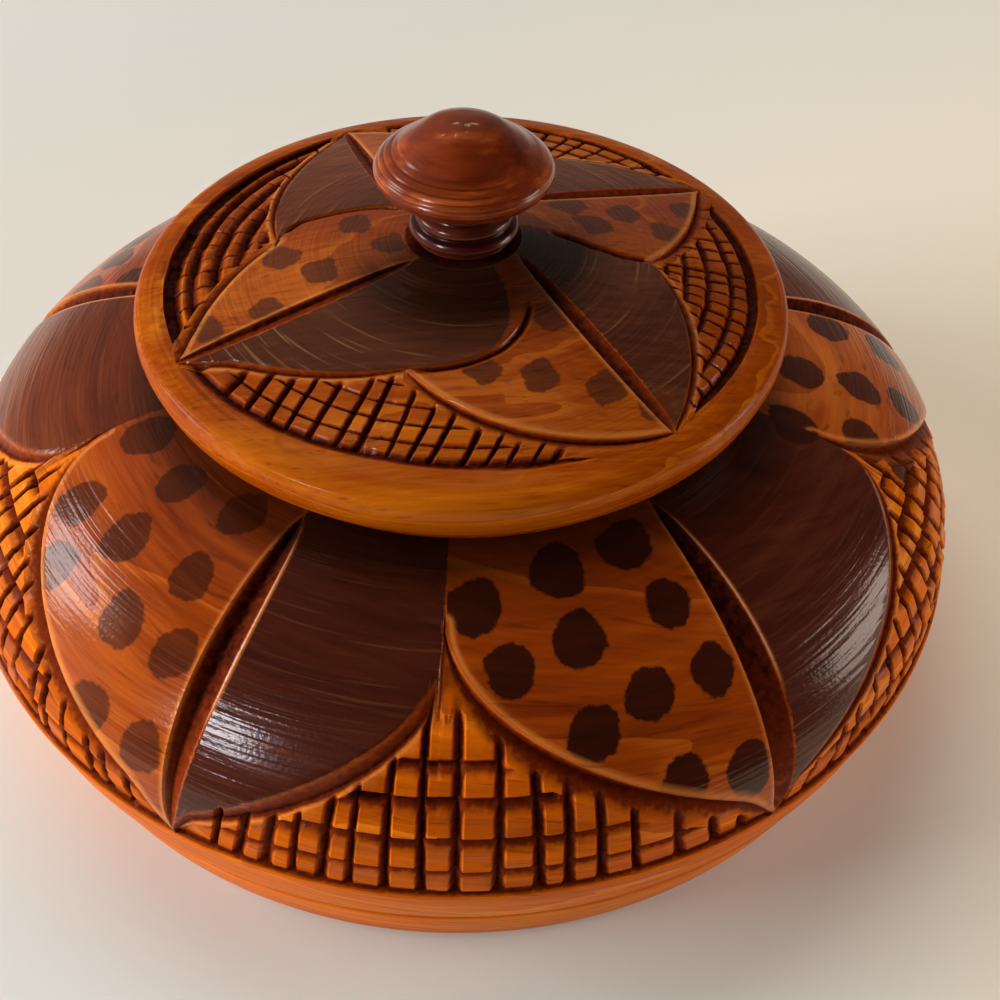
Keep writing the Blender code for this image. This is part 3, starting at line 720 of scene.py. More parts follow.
# Lid: four leaves wound like a pinwheel between the rim and the knob
lidShape = {
    "seed": 23,
    "crown": 54.8,
    "rim": 38.3,
    "rimHeight": 48.9,
    "crownRadius": 6.9,
    "crownBend": 1.1,
    "carvedRadius": 36.4,
    "underside": ((9.0, 38.8, 0.0), (26.0, 38.8, 0.0)),
    "base": ((28.0, 38.8, 0.0), (29.0, 36.2, 0.0), (32.0, 36.2, 0.0), (32.5, 36.7, 0.0), (32.5, 39.8, 0.6),
             (34.8, 39.8, 0.0), (36.5, 41.8, 0.0), (38.6, 44.4, 0.0), (39.35, 46.9, 0.0), (39.1, 48.2, 0.0),
             (38.3, 48.85, 0.0)),
    "baseEase": 0.5,
    # The bore's ledge beside the knob is toned dark: partly dark varnish and partly painted shade where the
    # knob stands over it
    "bore": ((6.8, 54.8, 0.7), (3.8, 54.8, 0.7), (3.8, 46.8, 0.7), (1.0, 46.8, 0.7)),
    "boreEase": 0.2,
    "poles": (38.8, 46.8),
    "leaves": 4,
    "veinsFar": (25.3, 111.0, 207.5, 306.0),
    "veinsOffset": (5.2, 5.0, 2.2, 3.1),
    "veinPeak": (1.0, 1.0, 1.0, 1.0),
    "notches": (76.0, 177.0, 256.0, 359.0),
    "notchRadius": 22.3,
    "hatchRadius": 31.0,
    "leanRun": 14.0,
    "bridge": 0.5,
    "sink": 0.25,
    "sinkFrom": 1.3,
    "sinkRun": 0.3,
    "hatchStart": 1.3,
    "leastStep": 0.03,
    "leastColumn": 0.06,
    "steepest": 2.5,
    "rowFlat": 0.42,
    "leafRows": 54,
    "gougeShares": (0.0, 0.35, 0.7, 1.0),
    "veinRuns": (0.2, 29.0),
    "veinWidth": 2.1,
    "veinLeast": 0.08,
    "veinSwell": 0.4,
    "veinDepth": 0.55,
    "veinTones": (0.85, 0.9, 0.7, 0.6),
    "veinLight": 0.9,
    "veinDark": (0.0, 6.0),
    "lightLeafWidth": 0.35,
    "lightFieldWidth": 1.15,
    "lightDepth": 0.85,
    "darkLeafWidth": 0.45,
    "darkFieldWidth": 0.7,
    "darkDepth": 0.75,
    "bareWall": 0.12,
    "opening": 0.1,
    "slopeTone": 0.75,
    "slopeSpread": 0.7,
    "rowTone": 1.25,
    "rowSpread": 0.35,
    "cellSpread": 0.4,
    # Painted shade beside the knob, where its shadow falls on the lid: runs, facing turn, share behind
    "shadeRuns": (16.5, 25.5),
    "shadeTurn": 288.0,
    "shadeBack": 0.25,
    "cutSpread": 0.55,
    # The stain is lighter on the leaves at the back
    "stainDense": (0.85, 0.78, 1.0, 1.0),
    "rowFade": 0.5,
    "footTone": 0.0,
    "cellDrop": 0.10,
    "cellColumns": (0.2, 0.4, 0.6, 0.8),
    "strokeDepth": 0.12,
    "wearAndHighlightRuns": (60.0, 61.0, 62.0, 63.0),
    "rows": (
        {"run": 1.75, "lower": 1.0, "upper": 0.5, "depth": 0.75, "jitter": 0.04, "flat": 0.9},
        {"run": 4.2, "lower": 0.4, "upper": 0.4, "depth": 0.55, "jitter": 0.08},
        {"run": 7.1, "lower": 0.4, "upper": 0.4, "depth": 0.55, "jitter": 0.10},
        {"run": 9.9, "lower": 0.4, "upper": 0.4, "depth": 0.5, "jitter": 0.12},
        {"run": 12.4, "lower": 0.35, "upper": 0.35, "depth": 0.45, "jitter": 0.12},
    ),
    "styles": (
        {"pitch": 3.0, "cutWidth": 0.9, "cutDepth": 0.6, "rowWidth": 1.2, "rowDepth": 1.0, "overrun": 0.5},
        {"pitch": 3.1, "cutWidth": 0.6, "cutDepth": 0.3, "rowWidth": 2.8, "rowDepth": 1.5, "overrun": 0.3},
        {"pitch": 2.9, "cutWidth": 1.15, "cutDepth": 0.75, "rowWidth": 0.8, "rowDepth": 0.8, "overrun": 0.7,
         "slantTo": 250.0, "inset": 1.5, "grooveWidth": 1.5},
        {"pitch": 2.2, "cutWidth": 0.65, "cutDepth": 0.45, "rowWidth": 1.6, "rowDepth": 1.2, "overrun": 0.5},
    ),
    # How each leaf's inner edge winds off from its notch: radius, and turn past the notch
    "notchWinds": (
        ((22.3, 0.0), (8.0, 4.0)),
        ((22.3, -3.0), (20.7, -11.0), (17.6, -17.0), (11.7, -30.0), (8.0, -34.0)),
        ((22.3, 0.0), (21.5, 9.0), (20.6, 18.0), (19.0, 29.0), (17.0, 38.0), (13.5, 50.0), (10.3, 59.0),
         (8.0, 62.0)),
        ((22.3, 0.0), (18.6, 0.0), (15.0, 3.0), (11.5, 9.0), (8.0, 20.0)),
    ),
    # The stain on the front leaf stops short of that edge
    "frontStain": ((22.3, 0.0), (21.3, 9.5), (20.3, 18.0), (18.5, 28.0), (15.4, 36.0), (10.3, 43.0),
                   (8.0, 45.0)),
    "frontLeaf": 2,
    "darkFalls": (1.0, 0.75, 0.6, 1.0),
    "lightFalls": (1.0, 0.9, 1.15, 0.9),
    "cut": {"tip": 0.4, "bend": 1.0, "end": 0.3, "endRise": 30.0},
    "notchGroove": (
        {"depth": 0.5, "start": 0.0, "stop": 0.9, "darkWidth": 0.5, "lightWidth": 0.5},
        {"depth": 0.5, "start": 0.0, "stop": 0.9, "darkWidth": 0.5, "lightWidth": 0.6},
        {"depth": 0.6, "start": 0.0, "stop": 0.75, "darkWidth": 0.5, "lightWidth": 0.8},
        {"depth": 0.6, "start": 0.0, "stop": 0.8, "darkWidth": 0.6, "lightWidth": 0.7},
    ),
}

# Brushed dots of the lid: turn and radius of each
lidDots = {
    "seed": 5,
    "places": ((308, 16.5), (278, 21.6), (293, 23.7), (306, 27.8), (312, 32.3), (186, 21.6), (199, 17.4),
               (208, 24.8), (206, 31.6), (167, 13.6), (192, 9.0), (36, 15.6), (26, 21.7), (19, 16.6),
               (26, 30.8), (15, 25.9), (112, 22.0), (100, 17.0), (108, 30.0), (92, 24.0), (116, 13.5)),
    "dense": 0.92,
    "radius": 2.1,
    "waves": ((3, 0.05), (4, 0.07), (7, 0.015)),
    "point": 0.16,
    "pointTo": 60.0,
    "pointSpread": 40.0,
}


def lidProfile(shape):
    # The crown rises to the knob in a nearly straight cone
    radius = np.linspace(shape["carvedRadius"], shape["crownRadius"], 300)
    share = (radius - shape["crownRadius"]) / (shape["rim"] - shape["crownRadius"])
    height = shape["crown"] - (shape["crown"] - shape["rimHeight"]) * share ** shape["crownBend"]
    return measureOutline(np.column_stack([radius, height]))


def buildLid(shape, dotsLook):
    outline = lidProfile(shape)

    def toRun(radius):
        return float(np.interp(-radius, -outline["radius"], outline["run"]))

    def veinTurn(leaf, run):
        # A straight cut that passes the middle of the lid at one side
        radius = readOutline(outline, run, "radius")
        far, offset = shape["veinsFar"][leaf], shape["veinsOffset"][leaf]
        return far + np.degrees(np.arcsin(np.clip(offset / radius, 0, 0.95)))

    def windTurn(winds, sector, run):
        # The wind counts from the notch inwards
        radius = readOutline(outline, run, "radius")
        places = np.array(winds[::-1])
        inward = radius < shape["notchRadius"] + 0.2
        return shape["notches"][sector] + np.interp(radius, places[:, 0], places[:, 1]) * inward

    def stainTurn(sector, run):
        winds = shape["frontStain"] if sector == shape["frontLeaf"] else shape["notchWinds"][sector]
        return windTurn(winds, sector, run)

    shape["radiusAt"] = lambda run: readOutline(outline, run, "radius")
    shape["veinTurn"] = veinTurn
    shape["notchTurn"] = lambda sector, run: windTurn(shape["notchWinds"][sector], sector, run)
    shape["stainTurn"] = stainTurn
    cut = {**shape["cut"], "notch": toRun(shape["notchRadius"])}
    shape["darkCuts"] = [{**cut, "fall": fall} for fall in shape["darkFalls"]]
    shape["lightCuts"] = [{**cut, "fall": fall} for fall in shape["lightFalls"]]
    band = carve(shape, outline, shape["seed"])
    random = np.random.default_rng(dotsLook["seed"])
    dots = [(turn, toRun(radius), dotsLook["dense"]) for turn, radius in dotsLook["places"]]
    markDots(band, dots, dotsLook, random)
    fieldFoot = (outline["radius"][0] + 0.1, outline["height"][0] - 0.02, 0.0)
    base = np.vstack([shape["underside"], easeCorners([*shape["base"], fieldFoot], shape["baseEase"])])
    bore = easeCorners(shape["bore"], shape["boreEase"])
    return assemble("lid_turned_and_carved", base, band, bore, outline, shape["poles"], 1.0)


lid = buildLid(lidShape, lidDots)
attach(lid, "lid")
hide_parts("lid")


# Knob: a turned head on a neck and two beads. The chips are small dents at its top: place east and north of
# the axis, reach each way, and depth.
knobShape = {
    "radius": 10.33,
    "base": 55.1,
    "height": 14.12,
    "tenon": 3.5,
    "tenonFoot": 47.3,
    "columns": 192,
    "rows": 200,
    "ridges": 7,
    "ridgeLow": 62.6,
    "ridgeHigh": 66.4,
    "ridgeDepth": 0.11,
    "chips": ((-0.9, -0.8, 0.42, 0.16, 0.12), (0.35, -1.1, 0.3, 0.22, 0.2), (1.1, -0.7, 0.48, 0.18, 0.14),
              (-2.3, -2.6, 0.3, 0.12, 0.08), (-0.9, -2.9, 0.13, 0.34, 0.08), (0.3, -2.3, 0.3, 0.12, 0.08)),
    "behind": 1.0,
    # The outline from the base to the top, in shares of the radius and of the height
    "shares": ((0.34, 0.0), (0.56, 0.0), (0.615, 0.02), (0.629, 0.05), (0.60, 0.09), (0.545, 0.117),
               (0.555, 0.135), (0.563, 0.155), (0.54, 0.19), (0.475, 0.225), (0.462, 0.262), (0.50, 0.315),
               (0.62, 0.37), (0.80, 0.43), (0.93, 0.48), (0.985, 0.535), (1.0, 0.58), (0.965, 0.635),
               (0.88, 0.69), (0.78, 0.735), (0.67, 0.80), (0.55, 0.865), (0.41, 0.935), (0.25, 0.98),
               (0.10, 0.997), (0.02, 1.0)),
    "topFrom": (66.0, 69.0),
    "ripple": 0.05,
    "grooveHeight": 56.75,
    "grooveWidth": 0.22,
    "neckFrom": (57.6, 58.2),
    "neckTo": (59.6, 60.8),
    "beadsTo": (58.5, 60.5),
}


def smoothCurve(points, count):
    # A Catmull-Rom curve through the points: each span blends its four nearest points by cubic weights
    points = np.asarray(points, float)
    padded = np.vstack([2 * points[0] - points[1], points, 2 * points[-1] - points[-2]])
    place = np.linspace(0, len(points) - 1.0001, count)
    span = place.astype(int)
    share = (place - span)[:, None]
    first, second, third, fourth = (padded[span + step] for step in range(4))
    cubic = 2 * second + (third - first) * share + (2 * first - 5 * second + 4 * third - fourth) * share ** 2
    return 0.5 * (cubic + (3 * second - first - 3 * third + fourth) * share ** 3)


def buildKnob(shape):
    # The outline turned round the axis, with shallow tool ridges about its widest line
    outer = np.array(shape["shares"]) * (shape["radius"], shape["height"]) + (0.0, shape["base"])
    curve = smoothCurve(outer, shape["rows"])
    foot = shape["tenonFoot"]
    tenon = np.array([(1.0, foot), (shape["tenon"] - 0.4, foot), (shape["tenon"], foot + 0.4),
                      (shape["tenon"], shape["base"] - 0.02)])
    whole = np.vstack([tenon, curve])
    radius, height = whole[:, :1], whole[:, 1:]
    turn = np.repeat(np.linspace(0, 360, shape["columns"], endpoint=False)[None], len(whole), axis=0)
    share = (height - shape["ridgeLow"]) / (shape["ridgeHigh"] - shape["ridgeLow"])
    inRidges = np.clip(np.sin(np.pi * np.clip(share, 0, 1)), 0, 1) ** 0.5
    wave = np.abs(np.sin(np.pi * shape["ridges"] * share)) - 0.6
    angle = np.radians(turn)
    wander = 0.35 + 0.65 * smooth(np.cos(angle - 4.0), -0.1, 0.8)
    radius = radius + shape["ridgeDepth"] * inRidges * wave * wander
    top = smooth(height, *shape["topFrom"])
    east, north = radius * np.cos(angle), radius * np.sin(angle)
    dent = sum(deep * np.exp(-((east - x) / wide) ** 2 - ((north - y) / tall) ** 2)
               for x, y, wide, tall, deep in shape["chips"]) * (height > shape["topFrom"][0] - 1)
    ripple = shape["ripple"] * np.sin(3 * angle + 0.5) * top * smooth(radius, 0.2, 2.0)
    height = np.repeat(height, shape["columns"], axis=1) + ripple - dent
    ridge = smooth(-wave, 0.0, 0.5) * inRidges * wander
    # Tone: darkest in the neck, on the beads and in the ridges' hollows, partly dark varnish and partly
    # painted shade under the head
    neck = smooth(height, *shape["neckFrom"]) * (1 - smooth(height, *shape["neckTo"]))
    groove = np.exp(-((height - shape["grooveHeight"]) / shape["grooveWidth"]) ** 2)
    beads = 0.85 * (1 - smooth(height, *shape["beadsTo"]))
    tone = np.clip(0.9 * ridge + np.maximum(0.95 * neck, beads) + groove, 0, 1)
    marks = {"tone": tone, "chip": smooth(dent, 0.03, 0.09)}
    piece = turnedMesh("knob_turned", turn, radius, height, (foot, float(curve[-1, 1])), marks)

    # The tenon stays on the axis of the lid; what stands above it sits a little behind
    points = np.empty(3 * len(piece.data.vertices))
    piece.data.vertices.foreach_get("co", points)
    points = points.reshape(-1, 3)
    points[:, 1] += shape["behind"] * mm * (points[:, 2] > (shape["base"] - 0.01) * mm)
    piece.data.vertices.foreach_set("co", points.ravel())
    return piece


knob = buildKnob(knobShape)
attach(knob, "lid")
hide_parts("knob")
print("shapes built")

# Camera at the photograph's place, from a fit to the turned outlines
cameraLook = {
    "target": (0.00533, 0.0, 0.01031),
    "distance": 0.18481,
    "pitch": 45.64,
    "roll": 1.92,
    "lens": 46.8,
}


def standAt(side, up, back, place):
    # Matrix of a camera or a lamp: its three directions and its place, each in a column
    return Matrix(np.vstack([np.column_stack([side, up, back, place]), (0, 0, 0, 1)]))


def placeCamera(look):
    pitch, roll = math.radians(look["pitch"]), math.radians(look["roll"])
    back = np.array([0.0, -math.cos(pitch), math.sin(pitch)])
    side = np.array([1.0, 0.0, 0.0])
    up = np.cross(back, side)
    right = math.cos(roll) * side + math.sin(roll) * up
    upward = -math.sin(roll) * side + math.cos(roll) * up
    place = np.array(look["target"]) + look["distance"] * back
    data = bpy.data.cameras.new("camera")
    data.lens = look["lens"]
    data.sensor_width = 36.0
    data.clip_start = 0.005
    camera = bpy.data.objects.new("camera", data)
    bpy.context.collection.objects.link(camera)
    camera.matrix_world = standAt(right, upward, back, place)
    bpy.context.scene.camera = camera


placeCamera(cameraLook)

# Lamps: windows at the left and the right, one at the front that only shows in the varnish, and wide soft
# washes from behind, left, right and front that give diffuse light only. Each stands at a turn, a rise and
# a distance from the middle of the foot.
lamps = {
    "window_left": {
        "turn": 172.0, "rise": 29.0, "away": 1.0, "size": (0.32, 0.26), "watts": 2.6, "colour": "#FFFFFF"},
    "window_front": {
        "turn": 221.0, "rise": 34.0, "away": 1.0, "size": (0.17, 0.18), "watts": 3.2, "colour": "#F4F6FF",
        "shineOnly": True},
    "window_right": {
        "turn": 2.0, "rise": 14.0, "away": 1.0, "size": (0.42, 0.26), "watts": 2.4, "colour": "#FFE9DC"},
    "wash_right": {
        "turn": 8.0, "rise": 15.0, "away": 2.0, "size": (0.9, 0.5), "watts": 10.0, "colour": "#FFF0E4",
        "diffuseOnly": True},
    "wash_behind": {
        "turn": 112.0, "rise": 54.0, "away": 2.2, "size": (1.9, 1.4), "watts": 26.0, "colour": "#FFFDF8",
        "diffuseOnly": True},
    "wash_left": {
        "turn": 187.0, "rise": 10.0, "away": 2.2, "size": (1.2, 0.65), "watts": 86.0, "colour": "#FFFDF8",
        "diffuseOnly": True},
    "wash_front": {
        "turn": 290.0, "rise": 10.0, "away": 2.0, "size": (1.2, 0.6), "watts": 9.0, "colour": "#FFF3E4",
        "diffuseOnly": True},
}


def placeLamp(name, look):
    turn, rise = math.radians(look["turn"]), math.radians(look["rise"])
    back = np.array([math.cos(turn) * math.cos(rise), math.sin(turn) * math.cos(rise), math.sin(rise)])
    side = np.array([-math.sin(turn), math.cos(turn), 0.0])
    up = np.cross(back, side)
    data = bpy.data.lights.new(name, "AREA")
    data.shape = "RECTANGLE"
    data.size, data.size_y = look["size"]
    data.energy = look["watts"]
    data.color = toLinear(look["colour"])[:3]
    lamp = bpy.data.objects.new(name, data)
    lamp.visible_glossy = not look.get("diffuseOnly", False)
    lamp.visible_diffuse = not look.get("shineOnly", False)
    bpy.context.collection.objects.link(lamp)
    lamp.matrix_world = standAt(side, up, back, back * look["away"])


for lampName, lampLook in lamps.items():
    placeLamp(lampName, lampLook)


def addNode(tree, kind, settings=None, inputs=None):
    # Adds one node: settings are its properties, inputs are values or sockets to link from
    item = tree.nodes.new(kind)
    for key, value in (settings or {}).items():
        if key == "stops":
            ramp = item.color_ramp
            ramp.elements[0].position, ramp.elements[0].color = value[0][0], toLinear(value[0][1])
            ramp.elements[1].position, ramp.elements[1].color = value[-1][0], toLinear(value[-1][1])
            for position, colour in value[1:-1]:
                ramp.elements.new(position).color = toLinear(colour)
        else:
            setattr(item, key, value)
    for key, value in (inputs or {}).items():
        if isinstance(value, bpy.types.NodeSocket):
            tree.links.new(value, item.inputs[key])
        else:
            item.inputs[key].default_value = value
    return item


def newMaterial(name):
    material = bpy.data.materials.new(name)
    material.use_nodes = True
    tree = material.node_tree
    return material, tree, tree.nodes["Principled BSDF"]


# Turned hardwood under clear varnish: growth layers lie nearly flat across the blank, so they follow the
# contours of the turned sides and open into long flames on the lid; each layer ends in a thin light line.
# Fine pores run along X, and the tool left streaks that follow the turning.
figure = {
    "drift": 22.0,                      # noise scales are changes per metre
    "driftReach": 0.007,
    "streaks": (620.0, 26.0),           # across the turning streaks, and along them
    "tool": (2100.0, 75.0),             # tool lines, drawn half a millimetre apart so that they show
    "speck": 1300.0,
    "dust": 2200.0,
    "weights": (0.8, 0.34, 0.26),       # of layers, fibres and streaks in the grain
    "yearWeight": 0.05,
    "yearLine": (0.90, 0.97),
    "lineTone": 0.12,
}

varnish = {
    "ior": 1.5,
    "specular": 0.03,                   # nearly all of the shine is the coat's
    "coat": 0.68,
    "cutCoat": 0.15,                    # little of it reached the cuts
    "coatRoughness": 0.17,
    "cutRoughness": 0.55,
}

boxWood = {
    "name": "varnished_turned_wood_box",
    "tilt": (4.0, -5.0, 12.0),
    "layers": (9.0, 13.0, 85.0),        # the layers wander over 12 mm up and 110 mm along
    "years": 3.5,                       # growth lines across the whole range of the noise
    "yearsUp": 120.0,                   # and one for each 8 mm of height
    "fibres": (60.0, 100.0, 2100.0),    # drawn about 0.5 mm apart so that they show
    "pores": (110.0, 260.0, 2800.0),    # dark dashes about 9 mm long
    "wood": ((0.3, "#6C2504"), (0.5, "#984008"), (0.74, "#BE641C")),
    "pale": ((0.3, "#A84A05"), (0.5, "#CE6206"), (0.74, "#E68820")),
    "stain": ((0.3, "#34130A"), (0.5, "#471C10"), (0.75, "#62301E")),
    "dots": ((0.3, "#270E06"), (0.75, "#4A1C0E")),
    "cut": ((0.0, "#A04A0C"), (0.45, "#6C2405"), (1.0, "#2A0802")),
    # lip: worn edges, partly painted highlight
    "lip": ((0.0, "#E0843A"), (0.62, "#E0843A"), (0.95, "#C49C88")),
    # painted shade under the lid's rim and beside the knob
    "paintedShade": "#0A0302",
    "scratch": "#7A4A30",
    "scratched": 0.2,
    "lipWeight": 0.6,
    "bareCoat": 0.02,
    "roughness": 0.38,
}

lidWood = {
    "name": "varnished_turned_wood_lid",
    "tilt": (3.0, 2.0, -7.0),
    "layers": (7.0, 60.0, 90.0),
    "years": 3.5,
    "yearsUp": 260.0,
    "fibres": (60.0, 1300.0, 1800.0),
    "pores": (120.0, 1900.0, 2600.0),
    "wood": ((0.3, "#6A2402"), (0.5, "#843402"), (0.74, "#A8540E")),
    "pale": ((0.3, "#742E00"), (0.5, "#903C00"), (0.74, "#B6620C")),
    "stain": ((0.3, "#36180C"), (0.5, "#482212"), (0.75, "#663820")),
    "dots": ((0.3, "#401A0C"), (0.75, "#5E2C14")),
    "cut": ((0.0, "#A0500C"), (0.45, "#702606"), (1.0, "#300A03")),
    # lip: worn edges, partly painted highlight
    "lip": ((0.0, "#D0803A"), (0.62, "#D0803A"), (0.95, "#C49C88")),
    # painted shade under the lid's rim and beside the knob
    "paintedShade": "#0A0302",
    "scratch": "#8A6038",
    "scratched": 0.5,
    "lipWeight": 0.6,
    "bareCoat": 0.35,
    "roughness": 0.36,
}


def makeWood(look):
    material, tree, shader = newMaterial(look["name"])
    place = addNode(tree, "ShaderNodeTexCoord").outputs["Object"]
    marks = {word: addNode(tree, "ShaderNodeAttribute", {"attribute_name": word}).outputs["Fac"]
             for word in ("stain", "dots", "tone", "lip", "pale", "shade", "dense")}

    # The grain runs along X, tilted a little and bent by a slow drift
    tilted = addNode(tree, "ShaderNodeMapping", None, {
        "Vector": place,
        "Rotation": [math.radians(angle) for angle in look["tilt"]],
    }).outputs["Vector"]
    drift = addNode(tree, "ShaderNodeTexNoise", None, {
        "Vector": tilted, "Scale": figure["drift"], "Detail": 2.0}).outputs["Color"]
    centred = addNode(tree, "ShaderNodeVectorMath", {"operation": "SUBTRACT"}, {
        0: drift, 1: (0.5, 0.5, 0.5)}).outputs["Vector"]
    shift = addNode(tree, "ShaderNodeVectorMath", {"operation": "SCALE"}, {
        0: centred, "Scale": figure["driftReach"]}).outputs["Vector"]
    bent = addNode(tree, "ShaderNodeVectorMath", {"operation": "ADD"}, {
        0: tilted, 1: shift}).outputs["Vector"]

    def grainNoise(scale, detail, roughness):
        # Noise drawn out along the grain
        drawn = addNode(tree, "ShaderNodeMapping", None, {"Vector": bent, "Scale": scale}).outputs["Vector"]
        return addNode(tree, "ShaderNodeTexNoise", None, {
            "Vector": drawn, "Scale": 1.0, "Detail": detail, "Roughness": roughness}).outputs["Fac"]

    def mixNoises(start, *parts):
        # start plus the sum of weight * (noise - 0.5)
        total = start - 0.5 * sum(weight for noise, weight in parts)
        for noise, weight in parts:
            total = addNode(tree, "ShaderNodeMath", {"operation": "MULTIPLY_ADD"}, {
                0: noise, 1: weight, 2: total}).outputs["Value"]
        return total

    def patchy(share, noise, weight):
        # A share made uneven: the share times (1 + weight * (noise - 0.5))
        return addNode(tree, "ShaderNodeMath", {"operation": "MULTIPLY"}, {
            0: share, 1: mixNoises(1.0, (noise, weight))}).outputs["Value"]

    layers = grainNoise(look["layers"], 3.0, 0.45)
    fibres = grainNoise(look["fibres"], 3.0, 0.6)
    pores = grainNoise(look["pores"], 2.0, 0.5)

    # Years: the layers cut into growth rings, each a slow fade that ends in a thin light line
    level = addNode(tree, "ShaderNodeVectorMath", {"operation": "DOT_PRODUCT"}, {
        0: tilted, 1: (0.0, 0.0, look["yearsUp"])}).outputs["Value"]
    counted = addNode(tree, "ShaderNodeMath", {"operation": "MULTIPLY_ADD"}, {
        0: layers, 1: look["years"], 2: level}).outputs["Value"]
    year = addNode(tree, "ShaderNodeMath", {"operation": "FRACT"}, {0: counted}).outputs["Value"]
    lightLine = addNode(tree, "ShaderNodeMapRange", {"interpolation_type": "SMOOTHSTEP"}, {
        "Value": year,
        "From Min": figure["yearLine"][0],
        "From Max": figure["yearLine"][1],
        "To Max": figure["lineTone"],
    }).outputs["Result"]

    # Turning streaks: noise of radius and height, drawn out round the axis
    parts = addNode(tree, "ShaderNodeSeparateXYZ", None, {"Vector": place}).outputs
    outward = addNode(tree, "ShaderNodeCombineXYZ", None, {
        "X": parts["X"], "Y": parts["Y"]}).outputs["Vector"]
    radius = addNode(tree, "ShaderNodeVectorMath", {"operation": "LENGTH"}, {0: outward}).outputs["Value"]

    def ringNoise(across, along, detail):
        # Changes per metre of radius and height, and per metre along the ring
        scaled = addNode(tree, "ShaderNodeMath", {"operation": "MULTIPLY"}, {
            0: radius, 1: across}).outputs["Value"]
        lifted = addNode(tree, "ShaderNodeCombineXYZ", None, {"Z": scaled}).outputs["Vector"]
        drawn = addNode(tree, "ShaderNodeVectorMath", {"operation": "SCALE"}, {
            0: outward, "Scale": along}).outputs["Vector"]
        joined = addNode(tree, "ShaderNodeVectorMath", {"operation": "ADD"}, {
            0: drawn, 1: lifted}).outputs["Vector"]
        rise = addNode(tree, "ShaderNodeMath", {"operation": "MULTIPLY"}, {
            0: parts["Z"], 1: across}).outputs["Value"]
        return addNode(tree, "ShaderNodeTexNoise", {"noise_dimensions": "4D"}, {
            "Vector": joined, "W": rise, "Scale": 1.0, "Detail": detail}).outputs["Fac"]

    streaks = ringNoise(*figure["streaks"], 2.0)
    tool = ringNoise(*figure["tool"], 1.0)
    plain = mixNoises(0.5, *zip((layers, fibres, streaks), figure["weights"]))
    lined = addNode(tree, "ShaderNodeMath", {"operation": "ADD"}, {0: plain, 1: lightLine}).outputs["Value"]
    yearTone = mixNoises(0.0, (year, figure["yearWeight"]))
    grain = addNode(tree, "ShaderNodeMath", {"operation": "ADD"}, {0: lined, 1: yearTone}).outputs["Value"]

    # Redder varnish on the leaves, natural wood in the fields, on the rim and on the base
    wood = addNode(tree, "ShaderNodeValToRGB", {"stops": look["wood"]}, {"Fac": grain}).outputs["Color"]
    pale = addNode(tree, "ShaderNodeValToRGB", {"stops": look["pale"]}, {"Fac": grain}).outputs["Color"]
    colour = addNode(tree, "ShaderNodeMixRGB", None, {
        "Fac": marks["pale"], "Color1": wood, "Color2": pale}).outputs["Color"]

    # Brushed stain and dots: their distance marks are ruffled by the fibres and then cut off sharply. The
    # turning left light scratches in the stain.
    speck = addNode(tree, "ShaderNodeTexNoise", None, {
        "Vector": place, "Scale": figure["speck"], "Detail": 3.0}).outputs["Fac"]
    ruffle = mixNoises(0.0, (plain, 0.5), (speck, 0.9))
    scratches = addNode(tree, "ShaderNodeMapRange", None, {
        "Value": tool, "From Min": 0.60, "From Max": 0.72, "To Max": look["scratched"]}).outputs["Result"]
    for word, blur in (("stain", 0.10), ("dots", 0.16)):
        ruffled = addNode(tree, "ShaderNodeMath", {"operation": "ADD"}, {
            0: marks[word], 1: ruffle}).outputs["Value"]
        inside = addNode(tree, "ShaderNodeMapRange", None, {
            "Value": ruffled, "From Min": -blur, "From Max": blur}).outputs["Result"]
        share = addNode(tree, "ShaderNodeMath", {"operation": "MULTIPLY"}, {
            0: inside, 1: marks["dense"]}).outputs["Value"]
        paint = addNode(tree, "ShaderNodeValToRGB", {"stops": look[word]}, {"Fac": plain}).outputs["Color"]
        if word == "stain":
            paint = addNode(tree, "ShaderNodeMixRGB", None, {
                "Fac": scratches, "Color1": paint, "Color2": toLinear(look["scratch"])}).outputs["Color"]
        colour = addNode(tree, "ShaderNodeMixRGB", None, {
            "Fac": share, "Color1": colour, "Color2": paint}).outputs["Color"]

    # Edges of the leaves, paler: partly varnish rubbed right through and partly painted highlight where they
    # catch the light
    lipShare = addNode(tree, "ShaderNodeMath", {"operation": "MULTIPLY"}, {
        0: marks["lip"], 1: look["lipWeight"]}).outputs["Value"]
    lip = addNode(tree, "ShaderNodeValToRGB", {"stops": look["lip"]}, {"Fac": lipShare}).outputs["Color"]
    colour = addNode(tree, "ShaderNodeMixRGB", None, {
        "Fac": lipShare, "Color1": colour, "Color2": lip}).outputs["Color"]

    # Open pores hold a little dark dust
    poreShare = addNode(tree, "ShaderNodeMapRange", None, {
        "Value": pores, "From Min": 0.60, "From Max": 0.72, "To Max": 0.45}).outputs["Result"]
    colour = addNode(tree, "ShaderNodeMixRGB", None, {
        "Fac": poreShare, "Color1": colour, "Color2": toLinear(look["stain"][0][1])}).outputs["Color"]

    # Cuts: darkest in the bottom and lighter up the walls, partly stain and varnish pooled there and partly
    # painted shade
    tone = patchy(marks["tone"], speck, 1.2)
    cutColour = addNode(tree, "ShaderNodeValToRGB", {"stops": look["cut"]}, {"Fac": tone}).outputs["Color"]
    cutShare = addNode(tree, "ShaderNodeMapRange", None, {
        "Value": tone, "From Min": 0.03, "From Max": 0.4}).outputs["Result"]
    colour = addNode(tree, "ShaderNodeMixRGB", None, {
        "Fac": cutShare, "Color1": colour, "Color2": cutColour}).outputs["Color"]

    # Painted shade beside the knob and under the lid's rim, where their shadows fall, streaked by the
    # turning
    paintedShadeShare = addNode(tree, "ShaderNodeMapRange", None, {
        "Value": patchy(marks["shade"], streaks, 1.2), "From Max": 0.9, "To Max": 0.82}).outputs["Result"]
    colour = addNode(tree, "ShaderNodeMixRGB", None, {
        "Fac": paintedShadeShare, "Color1": colour, "Color2": toLinear(look["paintedShade"])}).outputs["Color"]
    tree.links.new(colour, shader.inputs["Base Color"])

